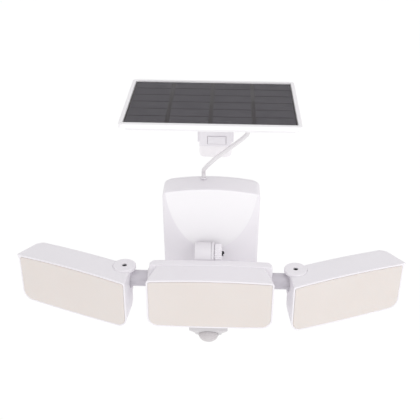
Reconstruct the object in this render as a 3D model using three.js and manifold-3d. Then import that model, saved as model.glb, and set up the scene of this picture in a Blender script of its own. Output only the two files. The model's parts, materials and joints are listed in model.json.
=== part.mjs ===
// Solar flood light: a wall base carrying three lamp heads on hinges and swivel arms, a motion
// sensor under the base, and a separate solar panel on its own wall bracket, joined by a cable.
// Millimetres. +X is the viewer's right, +Y goes into the wall, +Z is up. The origin is the middle
// of the base's back face, on the wall.
import * as THREE from "three";
import { mergeVertices } from "three/addons/utils/BufferGeometryUtils.js";
import Module from "manifold-3d";

const wasm = await Module();
wasm.setup();

// ---- driving dimensions ------------------------------------------------------------------------
const GAP = 0.3;                    // clearance between neighbouring pieces

// wall base
const BASE_HALF_WIDTH = 58;
const BASE_TOP = 82.5;              // height of the top corners
const BASE_CROWN = 5.8;             // extra height in the middle of the top edge
const BASE_BOTTOM = -92;
const BASE_DEPTH = 36;              // wall to the flat shield
const BASE_LOWER_DEPTH = 22;        // wall to the lower front
const BASE_CORNER = 9;
const BASE_WALL = 2.4;
const BACK_PLATE = 3;
const SHIELD = { halfWidth: 54, halfHeight: 65, centreZ: 75, fall: 16 };

// lamp heads, in the head's own frame: front face at y = 0, middle at x = z = 0
const HEAD = { halfWidth: 74.2, top: 33.2, bottom: -31.6, depth: 40, wall: 2.2 };
const CENTRE_HEAD_AT = [1.2, -106.7, -27.8];
const SIDE_HEAD_AT = [166.7, -75.6, -34.7];
const SIDE_HEAD_YAW = THREE.MathUtils.degToRad(22.1);

// hinge between base and centre head, an X axis
const TILT = { y: -50, z: 8.5, radius: 13.5, bolt: 3 };
const BASE_LUG_X = [-2, 4.5];
const HEAD_LUG_X = [-18.5, -2.3];
const KNOB_X = [4.9, 13.9];

// side arms along X, and the upright knuckles at their ends
const ARM = { y: -67, z: -18, radius: 9.8, socket: 12.7, inner: 57, bore: 5 };
const KNUCKLE = {
  x: 102.4, radius: 10.4, top: -3.9, bottom: -28.3, wall: 2.8, cap: 14.6, capTop: 0, ear: 9.2,
  earLow: -33.5,
};

// bar across the centre head's rear that carries the arm sockets, in the head's frame
const CARRIER = {
  halfWidth: 73.2, rearHalfWidth: 70.2, top: 34.2, bottom: -7, crown: 1.5, corner: 3,
  front: 31.6, shoulder: 38.8, rear: 42.8,
};

// motion sensor under the base, tilting about an X axis
const SENSOR_X = -1.5;
const SENSOR_HINGE = { y: -12, z: -103, radius: 7.5 };
const SENSOR = { halfWidth: 24.5, front: -55, back: -23, top: -98.5, bottom: -120, cheek: -106 };
// the belly below the sensor's cheeks: half widths where it starts and where it ends
const BELLY = { top: -114, upper: 17.5, lower: 16.5 };
// the sensor's sloping face: its middle, the angle of its axis from straight down, the dome and its collar
const SENSOR_FACE = { y: -46, z: -119, tilt: 55, radius: 12.5, height: 9.2, collar: 14, bore: 11.3 };

// solar panel
const PANEL = { x: 0.5, y: -70, cellX: 172.7, cellY: 120.4, top: 211.6, side: 4.2, front: 5.2, back: 4 };
const PANEL_LIP = 5;
const PANEL_THICK = 9.6;

// panel bracket on the wall
const BRACKET_X = 4;
const WALL_PLATE = { halfWidth: 19, bottom: 115.5, top: 193.5, thick: 4, corner: 6 };
const SOCKET = {
  halfFlange: 21, halfBody: 18.5, bottom: 138.5, top: 182, back: -4.3, flange: -12, front: -24,
};
const PANEL_HINGE = { y: -34, z: 188, radius: 8, halfLug: 8, bolt: 2.5 };
const LATCH = { x: 5.5, halfWidth: 10.4, bottom: 141.6, top: 150.9, front: -24.6, back: -20.5 };

// cable between the panel's gland and the base's grommet
const CABLE_RADIUS = 2.4;
const GLAND = { x: 41, y: -51, top: 187.2, bottom: 177 };
const GROMMET = { x: -10, y: -8, radius: 3.9, top: 90.5, bottom: 84 };
const CABLE_ROUTE = [
  [41, -51, 176.6], [41, -51, 171.5], [39.3, -51, 166.2], [35, -50.6, 161.2], [28.5, -49.6, 155],
  [22, -48, 148.9], [15.3, -46, 142.4], [8.5, -43, 135.4], [2.2, -38.2, 127.6], [-3.2, -31.5, 119],
  [-7, -23.5, 111], [-9.2, -15.5, 104.5], [-10, -10.3, 99.3], [-10, -8.2, 95], [-10, -8, 90.95],
];

// ---- materials -----------------------------------------------------------------------------------
const WHITE = { color: 0xe9e6ec, roughness: 0.45, metalness: 0 };
const SHADE = { color: 0xc9c5cf, roughness: 0.5, metalness: 0 };
const DIFFUSER = { color: 0xe9e1db, roughness: 0.55, metalness: 0 };
const RUBBER = { color: 0x4a4a4e, roughness: 0.9, metalness: 0 };
const CELL = { color: 0x38363c, roughness: 0.4, metalness: 0 };
const GLASS = { color: 0x55535c, roughness: 0.15, metalness: 0 };
const STEEL = { color: 0x8e8e92, roughness: 0.35, metalness: 1 };
const DARK_STEEL = { color: 0x2c2c30, roughness: 0.4, metalness: 0.8 };
const BOARD = { color: 0xdfe3df, roughness: 0.6, metalness: 0 };
const GREEN_BOARD = { color: 0x2f6b45, roughness: 0.6, metalness: 0 };
const BATTERY = { color: 0x2f6fae, roughness: 0.4, metalness: 0 };
const DOME = { color: 0xd8d5d6, roughness: 0.4, metalness: 0 };
const CABLE = { color: 0xdcd8da, roughness: 0.6, metalness: 0 };

// ---- solid helpers -------------------------------------------------------------------------------
function solid(geometry) {
  const plain = geometry.index ? geometry.toNonIndexed() : geometry.clone();
  plain.deleteAttribute("normal");
  plain.deleteAttribute("uv");
  const merged = mergeVertices(plain, 1e-4);
  const vertProperties = Float32Array.from(merged.attributes.position.array);
  const triVerts = Uint32Array.from(merged.index.array);
  return new wasm.Manifold(new wasm.Mesh({ numProp: 3, vertProperties, triVerts }));
}

function geometryOf(body) {
  const mesh = body.getMesh();
  const geometry = new THREE.BufferGeometry();
  geometry.setAttribute("position", new THREE.BufferAttribute(Float32Array.from(mesh.vertProperties), 3));
  geometry.setIndex(Array.from(mesh.triVerts));
  geometry.computeVertexNormals();
  return geometry;
}

const join = (...bodies) => bodies.reduce((all, body) => all.add(body));
const cut = (body, ...tools) => tools.reduce((rest, tool) => rest.subtract(tool), body);
const largest = (body) => body.decompose().sort((a, b) => b.volume() - a.volume())[0];

function block([x0, x1], [y0, y1], [z0, z1]) {
  const box = new THREE.BoxGeometry(x1 - x0, y1 - y0, z1 - z0);
  return solid(box.translate((x0 + x1) / 2, (y0 + y1) / 2, (z0 + z1) / 2));
}

// A cylinder or cone along one axis, from a to b on that axis, through the other two coordinates.
function rod(axis, [a, b], at, radius, { endRadius = radius, sides = 24 } = {}) {
  const cylinder = new THREE.CylinderGeometry(endRadius, radius, b - a, sides);
  cylinder.translate(0, (a + b) / 2, 0);
  if (axis === "x") return solid(cylinder.rotateZ(-Math.PI / 2).translate(0, at[0], at[1]));
  if (axis === "y") return solid(cylinder.translate(at[0], 0, at[1]));
  return solid(cylinder.rotateX(Math.PI / 2).translate(at[0], at[1], 0));
}

// A span made longer at each end.
function grown([a, b], before, after = before) {
  return [a - before, b + after];
}

// A closed outline with rounded corners as [across, up] points, anticlockwise.
function roundedOutline({ halfWidth, bottom, top, topRadius, bottomRadius, crown = 0, sag = 0,
  cornerSteps = 4, edgeSteps = 6 }) {
  const corners = [
    [-halfWidth + bottomRadius, bottom + bottomRadius, bottomRadius, Math.PI],
    [halfWidth - bottomRadius, bottom + bottomRadius, bottomRadius, 1.5 * Math.PI],
    [halfWidth - topRadius, top - topRadius, topRadius, 0],
    [-halfWidth + topRadius, top - topRadius, topRadius, 0.5 * Math.PI],
  ];
  const middle = (bottom + top) / 2;
  const points = [];
  corners.forEach(([x, z, radius, start], corner) => {
    for (let i = 0; i <= cornerSteps; i++) {
      const angle = start + (i / cornerSteps) * Math.PI / 2;
      points.push([x + radius * Math.cos(angle), z + radius * Math.sin(angle)]);
    }
    if (corner % 2 === 0) {
      const [fromX, fromZ] = points[points.length - 1];
      const next = corners[corner + 1];
      const toX = next[0];
      for (let i = 1; i < edgeSteps; i++) points.push([fromX + (toX - fromX) * i / edgeSteps, fromZ]);
    }
  });
  return points.map(([x, z]) => {
    const bulge = 1 - (x / halfWidth) ** 2;
    return [x, z > middle ? z + crown * bulge : z - sag * bulge];
  });
}

// A closed solid through equal-length outlines, each at its own y.
function loft(sections) {
  const count = sections[0].points.length;
  const positions = sections.flatMap(({ y, points }) => points.flatMap(([x, z]) => [x, y, z]));
  const index = [];
  for (let ring = 0; ring + 1 < sections.length; ring++) {
    for (let i = 0; i < count; i++) {
      const a = ring * count + i;
      const b = ring * count + (i + 1) % count;
      index.push(a, b, b + count, a, b + count, a + count);
    }
  }
  const flat = (points) => points.map(([x, z]) => new THREE.Vector2(x, z));
  const caps = [[0, false], [sections.length - 1, true]];
  for (const [ring, turned] of caps) {
    for (const [a, b, c] of THREE.ShapeUtils.triangulateShape(flat(sections[ring].points), [])) {
      const corners = turned ? [a, b, c] : [a, c, b];
      index.push(...corners.map((corner) => corner + ring * count));
    }
  }
  if (sections[0].y < sections[sections.length - 1].y) {
    for (let i = 0; i < index.length; i += 3) [index[i + 1], index[i + 2]] = [index[i + 2], index[i + 1]];
  }
  const geometry = new THREE.BufferGeometry();
  geometry.setAttribute("position", new THREE.Float32BufferAttribute(positions, 3));
  geometry.setIndex(index);
  return solid(geometry);
}

const slab = (points, y0, y1) => loft([{ y: y0, points }, { y: y1, points }]);

// An outline in plan, [x, y] points, extruded upward.
function plate(points, [z0, z1]) {
  const shape = new THREE.Shape(points.map(([x, y]) => new THREE.Vector2(x, y)));
  return solid(new THREE.ExtrudeGeometry(shape, { depth: z1 - z0, bevelEnabled: false }).translate(0, 0, z0));
}

function planOutline([x0, x1], [y0, y1], radius, cornerSteps = 4) {
  const middleX = (x0 + x1) / 2;
  const outline = roundedOutline({ halfWidth: (x1 - x0) / 2, bottom: y0, top: y1,
    topRadius: radius, bottomRadius: radius, cornerSteps, edgeSteps: 1 });
  return outline.map(([x, y]) => [x + middleX, y]);
}

// ---- the assembly --------------------------------------------------------------------------------
const group = new THREE.Group();

function add(parent, name, body, finish) {
  const mesh = new THREE.Mesh(geometryOf(body), new THREE.MeshStandardMaterial(finish));
  mesh.name = name;
  parent.add(mesh);
}

// A pan-head screw along Y: the head faces the wall, the shank runs forward.
function rearScrew(x, z, headY, length) {
  return join(rod("y", [headY - 1.7, headY], [x, z], 2.8, { sides: 16 }),
    rod("y", [headY - length, headY - 1.6], [x, z], 1.3, { sides: 10 }));
}

// ---- wall base -----------------------------------------------------------------------------------
function baseOutline(inset) {
  return roundedOutline({ halfWidth: BASE_HALF_WIDTH - inset, bottom: BASE_BOTTOM + inset,
    top: BASE_TOP - inset, topRadius: BASE_CORNER - inset / 2, bottomRadius: BASE_CORNER - inset / 2,
    crown: BASE_CROWN, cornerSteps: 5, edgeSteps: 10 });
}

// The base's outer form: an upright slab whose front is a flat shield that falls away below it.
function baseForm(inset, backY) {
  const reach = BASE_DEPTH - inset;
  const spread = 1 + BASE_DEPTH / SHIELD.fall;
  const cone = new THREE.CylinderGeometry(1, spread, BASE_DEPTH, 48).rotateX(Math.PI);
  cone.scale(SHIELD.halfWidth - inset / 2, 1, SHIELD.halfHeight - inset / 2);
  cone.translate(0, -BASE_DEPTH / 2 + inset, SHIELD.centreZ);
  const lower = block([-80, 80], [-BASE_LOWER_DEPTH + inset, 2], [-120, 120]);
  return slab(baseOutline(inset), backY, -reach).intersect(join(solid(cone), lower));
}

const SCREW_POSTS = [[-46, 66], [46, 66], [-46, -78], [46, -78]];
const SENSOR_EAR_X = [[-14.5, -9.5], [9.5, 14.5]];
const BUTTON_AT = [38, -12];

function baseHousing() {
  const outer = baseForm(0, -BACK_PLATE - GAP);
  let housing = cut(outer, baseForm(BASE_WALL, 1));
  const posts = SCREW_POSTS.map(([x, z]) => rod("y", [-34, -4], [x, z], 4, { sides: 16 }));
  housing = join(housing, join(...posts).intersect(outer));
  return cut(housing,
    rod("z", [BASE_BOTTOM - 1, BASE_BOTTOM + 4], BUTTON_AT, 5),
    rod("z", [80, 92], [GROMMET.x, GROMMET.y], GROMMET.radius - 0.9, { sides: 20 }),
    ...SCREW_POSTS.map(([x, z]) => rod("y", [-15.5, -3], [x, z], 1.6, { sides: 12 })));
}

// The post on the shield's lower edge that carries the centre head's hinge.
function hingePost() {
  const at = [TILT.y, TILT.z];
  const post = join(rod("x", BASE_LUG_X, at, TILT.radius, { sides: 40 }),
    block(BASE_LUG_X, [TILT.y, -30], [-3, 14]));
  return cut(post, baseForm(-GAP, 0), rod("x", [-10, 10], at, TILT.bolt + 0.4, { sides: 20 }));
}

// A plate under the base with two ears for the sensor's hinge.
function sensorYoke() {
  const { y, z, radius } = SENSOR_HINGE;
  const depth = [y - radius, y + radius];
  const under = BASE_BOTTOM - GAP;
  const ears = SENSOR_EAR_X.map((span) => join(rod("x", span, [y, z], radius),
    block(span, depth, [z, under - 1])));
  const foot = block([SENSOR_EAR_X[0][0], SENSOR_EAR_X[1][1]], depth, [under - 2.4, under]);
  return cut(join(foot, ...ears), rod("x", [-16, 16], [y, z], 2.4, { sides: 16 }));
}

function backPlate() {
  const keyholes = [48, -52].map((z) => join(rod("y", [-4, 1], [0, z], 5),
    block([-2.4, 2.4], [-4, 1], [z, z + 9]), rod("y", [-4, 1], [0, z + 9], 2.4, { sides: 16 })));
  const recesses = SCREW_POSTS.map(([x, z]) => join(rod("y", [-2.3, 1], [x, z], 3.2, { sides: 16 }),
    rod("y", [-4, 1], [x, z], 1.7, { sides: 12 })));
  return cut(slab(baseOutline(0.4), 0, -BACK_PLATE), ...keyholes, ...recesses);
}

function baseGasket() {
  return cut(slab(baseOutline(2.8), -3.3, -5.3), slab(baseOutline(5.4), -2, -7));
}

// A waisted ring that snaps into the top wall.
function cableGrommet() {
  const ring = join(
    rod("z", [88.75, GROMMET.top], [GROMMET.x, GROMMET.y], GROMMET.radius, { endRadius: 3.5, sides: 20 }),
    rod("z", [GROMMET.bottom, 89], [GROMMET.x, GROMMET.y], GROMMET.radius - 1.2, { sides: 20 }));
  return cut(ring, rod("z", [80, 92], [GROMMET.x, GROMMET.y], CABLE_RADIUS - 0.8, { sides: 16 }));
}

function batteryPack() {
  const cells = [42, 61.4].map((z) => rod("x", [-33, 33], [-17, z], 9.3, { sides: 20 }));
  return join(...cells, block([-31, 31], [-25.5, -8.5], [42, 61.4]));
}

function controlBoard() {
  const y = [-8.6, -7];
  const board = block([-32, 32], y, [-80, -14]);
  const chips = [[-14, -34, 9, 2], [12, -32, 6, 3], [-18, -60, 5, 5], [14, -60, 10, 2.4]];
  const raised = chips.map(([x, z, half, high]) => block([x - half, x + half], [-8.5 - high, -8],
    [z - half * 0.7, z + half * 0.7]));
  return join(board, ...raised);
}

function modeButton() {
  return join(rod("z", [BASE_BOTTOM - 1.6, BASE_BOTTOM + 3.4], BUTTON_AT, 4.6),
    rod("z", [BASE_BOTTOM + BASE_WALL + GAP, BASE_BOTTOM + 4], BUTTON_AT, 6.2));
}

add(group, "base_housing", baseHousing(), WHITE);
add(group, "base_hinge_post", hingePost(), WHITE);
const sensor = new THREE.Group();
sensor.position.x = SENSOR_X;
group.add(sensor);
add(sensor, "sensor_yoke", sensorYoke(), WHITE);
add(group, "base_back_plate", backPlate(), WHITE);
add(group, "base_gasket", baseGasket(), RUBBER);
add(group, "cable_grommet", cableGrommet(), WHITE);
add(group, "battery_pack", batteryPack(), BATTERY);
add(group, "control_board", controlBoard(), GREEN_BOARD);
add(group, "mode_button", modeButton(), RUBBER);
SCREW_POSTS.forEach(([x, z], i) => add(group, `base_screw_${i + 1}`, rearScrew(x, z, -0.4, 13.5), STEEL));

// ---- tilt hinge ----------------------------------------------------------------------------------
function tiltBolt() {
  const at = [TILT.y, TILT.z];
  const socket = rod("x", [15.6, 18], at, 2.2, { sides: 6 });
  return cut(join(rod("x", [-15, 14.5], at, TILT.bolt, { sides: 20 }),
    rod("x", [14.2, 17], at, 4.5, { endRadius: 4, sides: 20 })), socket);
}

// A thumb nut with a toothed rim.
function tiltKnob() {
  const teeth = 30;
  const points = [];
  for (let i = 0; i < teeth * 2; i++) {
    const radius = i % 2 ? 11 : 11.8;
    const angle = (i / (teeth * 2)) * 2 * Math.PI;
    points.push(new THREE.Vector2(radius * Math.cos(angle), radius * Math.sin(angle)));
  }
  const rim = new THREE.ExtrudeGeometry(new THREE.Shape(points), {
    depth: KNOB_X[1] - KNOB_X[0], bevelEnabled: false });
  rim.rotateY(Math.PI / 2).translate(KNOB_X[0], TILT.y, TILT.z);
  return cut(solid(rim), rod("x", [4, 15], [TILT.y, TILT.z], TILT.bolt + 0.4, { sides: 20 }));
}

add(group, "tilt_bolt", tiltBolt(), DARK_STEEL);
add(group, "tilt_knob", tiltKnob(), WHITE);

// ---- lamp heads ----------------------------------------------------------------------------------
// The head's outline at stations behind its front face: it narrows and lifts its belly to the rear.
const HEAD_STATIONS = [
  { y: 0, narrower: 0, top: HEAD.top, bottom: HEAD.bottom, crown: 2.2, sag: 1.2 },
  { y: 30, narrower: 8.4, top: HEAD.top, bottom: -29.8, crown: 2, sag: 0.8 },
  { y: 36.4, narrower: 10.6, top: 33, bottom: -27, crown: 1.8, sag: 0.5 },
  { y: HEAD.depth, narrower: 13.6, top: 31.2, bottom: -23, crown: 1.2, sag: 0 },
];

// The outline at any y, moved inward by inset.
function headOutline(y, inset) {
  const next = Math.max(1, HEAD_STATIONS.findIndex((station) => station.y >= y));
  const [a, b] = [HEAD_STATIONS[next - 1], HEAD_STATIONS[next]];
  const t = Math.min(Math.max((y - a.y) / (b.y - a.y), 0), 1);
  const mix = (key) => a[key] + (b[key] - a[key]) * t;
  return roundedOutline({ halfWidth: HEAD.halfWidth - mix("narrower") - inset,
    bottom: mix("bottom") + inset, top: mix("top") - inset, topRadius: 3 - inset / 2.8,
    bottomRadius: 13 - inset, crown: mix("crown"), sag: mix("sag"), cornerSteps: 4, edgeSteps: 6 });
}

const headSection = (y, inset, at = y) => ({ y: at, points: headOutline(y, inset) });
const headSlab = (inset, y0, y1) => loft([headSection(y0, inset), headSection(y1, inset)]);

// The head's closed envelope; with an inset, the cavity inside its wall, open to the front.
function headForm(inset) {
  const [, second, third, rear] = HEAD_STATIONS;
  const opening = inset > 0 ? [headSection(0, inset, -2)] : [];
  return loft([...opening, headSection(0, inset), headSection(second.y, inset),
    headSection(third.y, inset, third.y - inset / 2), headSection(rear.y, inset, rear.y - inset)]);
}

// The brow that overhangs a side head's outer top edge: its overhang at each head station, how far its
// underside reaches down, and how far it is sunk into the wall.
const BROW = { overhang: [3.6, 4.2, 1.4, 0], deep: 5.5, sunk: 3, lift: 0.8 };

function brow(side) {
  const sections = HEAD_STATIONS.map(({ y, narrower, top }, i) => {
    const wall = HEAD.halfWidth - narrower;
    const tip = wall + BROW.overhang[i];
    const points = [[wall - BROW.sunk, top - BROW.deep], [wall - 0.5, top - BROW.deep], [tip, top],
      [tip - 0.3, top + BROW.lift], [wall - BROW.sunk, top]];
    return { y, points: side > 0 ? points : points.map(([x, z]) => [-x, z]).reverse() };
  });
  return loft(sections);
}

function headShell(...attached) {
  const posts = [-38, 38].map((x) => rod("y", [11.6, HEAD.depth - 1], [x, -2], 3.4, { sides: 14 }));
  return join(cut(join(headForm(0), ...attached), headForm(HEAD.wall)), ...posts);
}

function diffuser() {
  const skirt = headSlab(2.6, 0.6, 6.4);
  const face = loft([headSection(0, 3.6, -0.9), headSection(0.6, 2.6)]);
  return cut(join(face, skirt), headSlab(4.3, 1.4, 7));
}

function headGasket() {
  return cut(headSlab(2.7, 6.7, 8.5), headSlab(5.6, 6, 9));
}

function ledBoard() {
  const board = headSlab(2.8, 8.8, 10.4);
  const chips = [];
  for (let column = 0; column < 7; column++) {
    for (let row = 0; row < 3; row++) {
      const x = (column - 3) * 19;
      const z = (row - 1) * 16;
      chips.push(block([x - 1.7, x + 1.7], [7.9, 9.4], [z - 1.7, z + 1.7]));
    }
  }
  const holes = [-38, 38].map((x) => rod("y", [7, 12], [x, -2], 1.5, { sides: 10 }));
  return cut(join(board, ...chips), ...holes);
}

function addLampInside(parent, name) {
  add(parent, `${name}_head_diffuser`, diffuser(), DIFFUSER);
  add(parent, `${name}_head_gasket`, headGasket(), RUBBER);
  add(parent, `${name}_head_led_board`, ledBoard(), BOARD);
}

function headGroup(at, yaw) {
  const head = new THREE.Group();
  head.position.set(...at);
  head.rotation.z = yaw;
  group.add(head);
  return head;
}

// The bar across the centre head's rear, with bevelled rear corners.
function armCarrier() {
  const { halfWidth, rearHalfWidth, top, bottom, crown, corner, front, shoulder, rear } = CARRIER;
  const section = (y, half) => ({ y, points: roundedOutline({ halfWidth: half, bottom, top,
    topRadius: corner, bottomRadius: corner, crown }) });
  return loft([section(front, halfWidth), section(shoulder, halfWidth), section(rear, rearHalfWidth)]);
}

// The centre head's housing, with the two sockets that hold the side arms.
function centreHousing() {
  const [headX, headY, headZ] = CENTRE_HEAD_AT;
  const at = [ARM.y - headY, ARM.z - headZ];
  const sockets = [];
  const bores = [];
  for (const side of [-1, 1]) {
    const span = (a, b) => (side > 0 ? [a - headX, b - headX] : [-b - headX, -a - headX]);
    sockets.push(rod("x", span(53.6, 74.4), at, ARM.socket, { sides: 32 }));
    bores.push(rod("x", span(ARM.inner - GAP, 80), at, ARM.radius + GAP, { sides: 32 }));
    bores.push(rod("x", span(53, 58), [at[0] - 2.5, at[1]], 3, { sides: 12 }));
  }
  return cut(join(headShell(armCarrier()), ...sockets), ...bores);
}

// The lug on the centre head's rear face: a foot, and an eye beside the base's post.
function centreLug() {
  const [headX, headY, headZ] = CENTRE_HEAD_AT;
  const [y, z] = [TILT.y - headY, TILT.z - headZ];
  const rear = CARRIER.rear + GAP;
  const width = HEAD_LUG_X.map((x) => x - headX);
  const eye = rod("x", width, [y, z], TILT.radius, { sides: 40 });
  const web = block(width, [rear, y], [z - 13, z - 5.4]);
  const boltHole = rod("x", [-15.6 - headX, 2], [y, z], TILT.bolt + 0.4, { sides: 20 });
  return cut(join(eye, web).intersect(block([-40, 40], [rear, 90], [-40, 60])), boltHole);
}

const centre = headGroup(CENTRE_HEAD_AT, 0);
add(centre, "centre_head_housing", centreHousing(), WHITE);
add(centre, "centre_head_lug", centreLug(), WHITE);
addLampInside(centre, "centre");

// A side head's housing: an upright pocket in its inner rear corner holds the arm's eye between a
// cap and a smaller lower ear. side is -1 on the left and 1 on the right.
function sideHousing(side) {
  const [headX, headY, headZ] = SIDE_HEAD_AT;
  const dx = KNUCKLE.x - headX;
  const dy = ARM.y - headY;
  const c = Math.cos(SIDE_HEAD_YAW);
  const s = Math.sin(SIDE_HEAD_YAW);
  const x = side * (dx * c + dy * s);
  const y = -dx * s + dy * c;
  const up = (z) => z - headZ;
  const form = headForm(0);
  const wall = rod("z", [up(KNUCKLE.earLow), up(-2)], [x, y], KNUCKLE.radius + KNUCKLE.wall,
    { sides: 36 }).intersect(form);
  const cap = rod("z", [up(KNUCKLE.top + GAP), up(KNUCKLE.capTop)], [x, y], KNUCKLE.cap,
    { endRadius: KNUCKLE.cap - 1, sides: 36 });
  const ear = rod("z", [up(KNUCKLE.earLow), up(KNUCKLE.bottom - GAP)], [x, y], KNUCKLE.ear, { sides: 36 });
  const pocket = rod("z", [up(KNUCKLE.bottom - GAP), up(KNUCKLE.top + GAP)], [x, y], KNUCKLE.radius + 0.6,
    { sides: 36 });
  const sweep = [];
  for (let degrees = -62; degrees <= 4; degrees += 11) {
    const tube = new THREE.CylinderGeometry(ARM.radius + 0.7, ARM.radius + 0.7, 44, 28).rotateZ(Math.PI / 2);
    tube.translate(-22, 0, 0).rotateZ(THREE.MathUtils.degToRad(degrees));
    if (side < 0) tube.rotateZ(Math.PI - 2 * THREE.MathUtils.degToRad(degrees));
    sweep.push(solid(tube.translate(x, y, up(ARM.z))));
  }
  const housing = cut(join(headShell(brow(side)), wall, cap, ear), pocket, ...sweep,
    rod("z", [up(-2.2), up(2)], [x, y], 3.5, { sides: 20 }),
    rod("z", [up(-32.3), up(2)], [x, y], 2.6, { sides: 16 }));
  return largest(housing);
}

function sideArm(side) {
  const span = (a, b) => (side > 0 ? [a, b] : [-b, -a]);
  const at = [ARM.y, ARM.z];
  const eye = rod("z", [KNUCKLE.bottom, KNUCKLE.top], [side * KNUCKLE.x, ARM.y], KNUCKLE.radius,
    { sides: 36 });
  const tube = rod("x", span(ARM.inner, KNUCKLE.x - 4), at, ARM.radius, { sides: 32 });
  const groove = cut(rod("x", span(65.6, 68.4), at, 12), rod("x", span(64, 70), at, 8.6));
  return cut(join(eye, tube), groove, rod("x", span(50, 93), at, ARM.bore, { sides: 16 }),
    rod("z", [-40, 5], [side * KNUCKLE.x, ARM.y], 2.6, { sides: 16 }));
}

function armSeal(side) {
  const span = (a, b) => (side > 0 ? [a, b] : [-b, -a]);
  return cut(rod("x", span(65.9, 68.1), [ARM.y, ARM.z], 9.8, { sides: 32 }),
    rod("x", span(65, 69), [ARM.y, ARM.z], 8.9, { sides: 32 }));
}

function knuckleScrew(side) {
  const at = [side * KNUCKLE.x, ARM.y];
  const shank = rod("z", [-31.9, -1.5], at, 2.2, { sides: 16 });
  return cut(join(shank, rod("z", [-1.9, -0.4], at, 3.1, { sides: 20 })),
    block([at[0] - 2, at[0] + 2], [at[1] - 0.4, at[1] + 0.4], [-1.1, 1]),
    block([at[0] - 0.4, at[0] + 0.4], [at[1] - 2, at[1] + 2], [-1.1, 1]));
}

for (const [side, name] of [[-1, "left"], [1, "right"]]) {
  const head = headGroup([side * SIDE_HEAD_AT[0], SIDE_HEAD_AT[1], SIDE_HEAD_AT[2]], side * SIDE_HEAD_YAW);
  add(head, `${name}_head_housing`, sideHousing(side), WHITE);
  addLampInside(head, name);
  add(group, `${name}_arm`, sideArm(side), SHADE);
  add(group, `${name}_arm_seal`, armSeal(side), RUBBER);
  add(group, `${name}_knuckle_screw`, knuckleScrew(side), DARK_STEEL);
}

// ---- motion sensor -------------------------------------------------------------------------------
function sensorOutline(inset) {
  const half = SENSOR.halfWidth - inset;
  const top = SENSOR.top - inset;
  const bottom = SENSOR.bottom + inset;
  const [upper, lower] = [BELLY.upper - inset, BELLY.lower - inset];
  return [[-half, top], [-half, SENSOR.cheek], [-upper, BELLY.top], [-lower, bottom],
    [lower, bottom], [upper, BELLY.top], [half, SENSOR.cheek], [half, top]];
}

// Moves a body made round the Z axis onto the sloping face, with straight down as outward.
function onSensorFace(body) {
  return body.rotate([-SENSOR_FACE.tilt, 0, 0]).translate([0, SENSOR_FACE.y, SENSOR_FACE.z]);
}

function sensorForm(inset) {
  const beyond = onSensorFace(block([-50, 50], [-50, 50], [-60, inset]));
  return cut(slab(sensorOutline(inset), SENSOR.back - inset, SENSOR.front + inset), beyond);
}

const SENSOR_HATCH = { x: [-12, 12], y: [-37.4, -27.4], thick: 1.8 };

function sensorHousing() {
  const { x, y } = SENSOR_HATCH;
  const shell = cut(sensorForm(0), sensorForm(2),
    block(grown(x, GAP), grown(y, GAP), [SENSOR.bottom - 1, SENSOR.bottom + 3]));
  const at = [SENSOR_HINGE.y, SENSOR_HINGE.z];
  const lug = join(rod("x", [-9.1, 9.1], at, SENSOR_HINGE.radius),
    block([-9.1, 9.1], [SENSOR.back - 1, SENSOR_HINGE.y], [-110.5, -100]));
  const collar = onSensorFace(rod("z", [0, 5], [0, 0], SENSOR_FACE.collar, { sides: 36 }));
  const bore = onSensorFace(rod("z", [-1, 9], [0, 0], SENSOR_FACE.bore, { sides: 36 }));
  return cut(join(shell, lug, collar), bore, rod("x", [-12, 12], at, 2.4, { sides: 16 }));
}

function sensorCover() {
  const { x, y, thick } = SENSOR_HATCH;
  return block(x, y, [SENSOR.bottom, SENSOR.bottom + thick]);
}

// A thin-walled flattened dome with a spigot that fits the collar.
function sensorDome() {
  const { radius, height } = SENSOR_FACE;
  const spigot = SENSOR_FACE.bore - GAP;
  const inner = spigot - 1.2;
  const arc = (across, tall) => Array.from({ length: 7 }, (_, i) => (i / 6) * Math.PI / 2)
    .map((angle) => new THREE.Vector2(across * Math.sin(angle), -GAP - tall * Math.cos(angle)));
  const profile = [...arc(radius, height), new THREE.Vector2(spigot, -GAP), new THREE.Vector2(spigot, 4),
    new THREE.Vector2(inner, 4), ...arc(inner, height - 1.4).reverse()];
  return onSensorFace(solid(new THREE.LatheGeometry(profile, 24).rotateX(Math.PI / 2)));
}

function sensorBoard() {
  return join(block([-15, 15], [-43.2, -26], [-112.2, -110.8]),
    onSensorFace(rod("z", [3, 12], [0, 0], 4.4, { sides: 20 })));
}

function sensorBolt() {
  const at = [SENSOR_HINGE.y, SENSOR_HINGE.z];
  return join(rod("x", [-14.2, 15], at, 2, { sides: 14 }), rod("x", [14.8, 16.6], at, 3.6, { sides: 16 }));
}

add(sensor, "sensor_housing", sensorHousing(), WHITE);
add(sensor, "sensor_cover", sensorCover(), WHITE);
add(sensor, "sensor_dome", sensorDome(), DOME);
add(sensor, "sensor_board", sensorBoard(), GREEN_BOARD);
add(sensor, "sensor_bolt", sensorBolt(), STEEL);

// ---- solar panel ---------------------------------------------------------------------------------
const PANEL_X = [PANEL.x - PANEL.cellX / 2, PANEL.x + PANEL.cellX / 2];
const PANEL_Y = [PANEL.y - PANEL.cellY / 2, PANEL.y + PANEL.cellY / 2];

function panelFrame() {
  const outerX = grown(PANEL_X, PANEL.side);
  const outerY = grown(PANEL_Y, PANEL.front, PANEL.back);
  const lip = plate(planOutline(outerX, outerY, 4), [PANEL.top - PANEL_LIP, PANEL.top]);
  const pan = plate(planOutline(grown(outerX, -6), grown(outerY, -6), 5),
    [PANEL.top - PANEL_THICK, PANEL.top - PANEL_LIP + 0.5]);
  const wireHole = rod("z", [200, 210], [GLAND.x, GLAND.y], 4, { sides: 16 });
  return cut(join(lip, pan), plate(planOutline(grown(PANEL_X, 0.2), grown(PANEL_Y, 0.2), 1), [209.2, 213]),
    wireHole);
}

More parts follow.
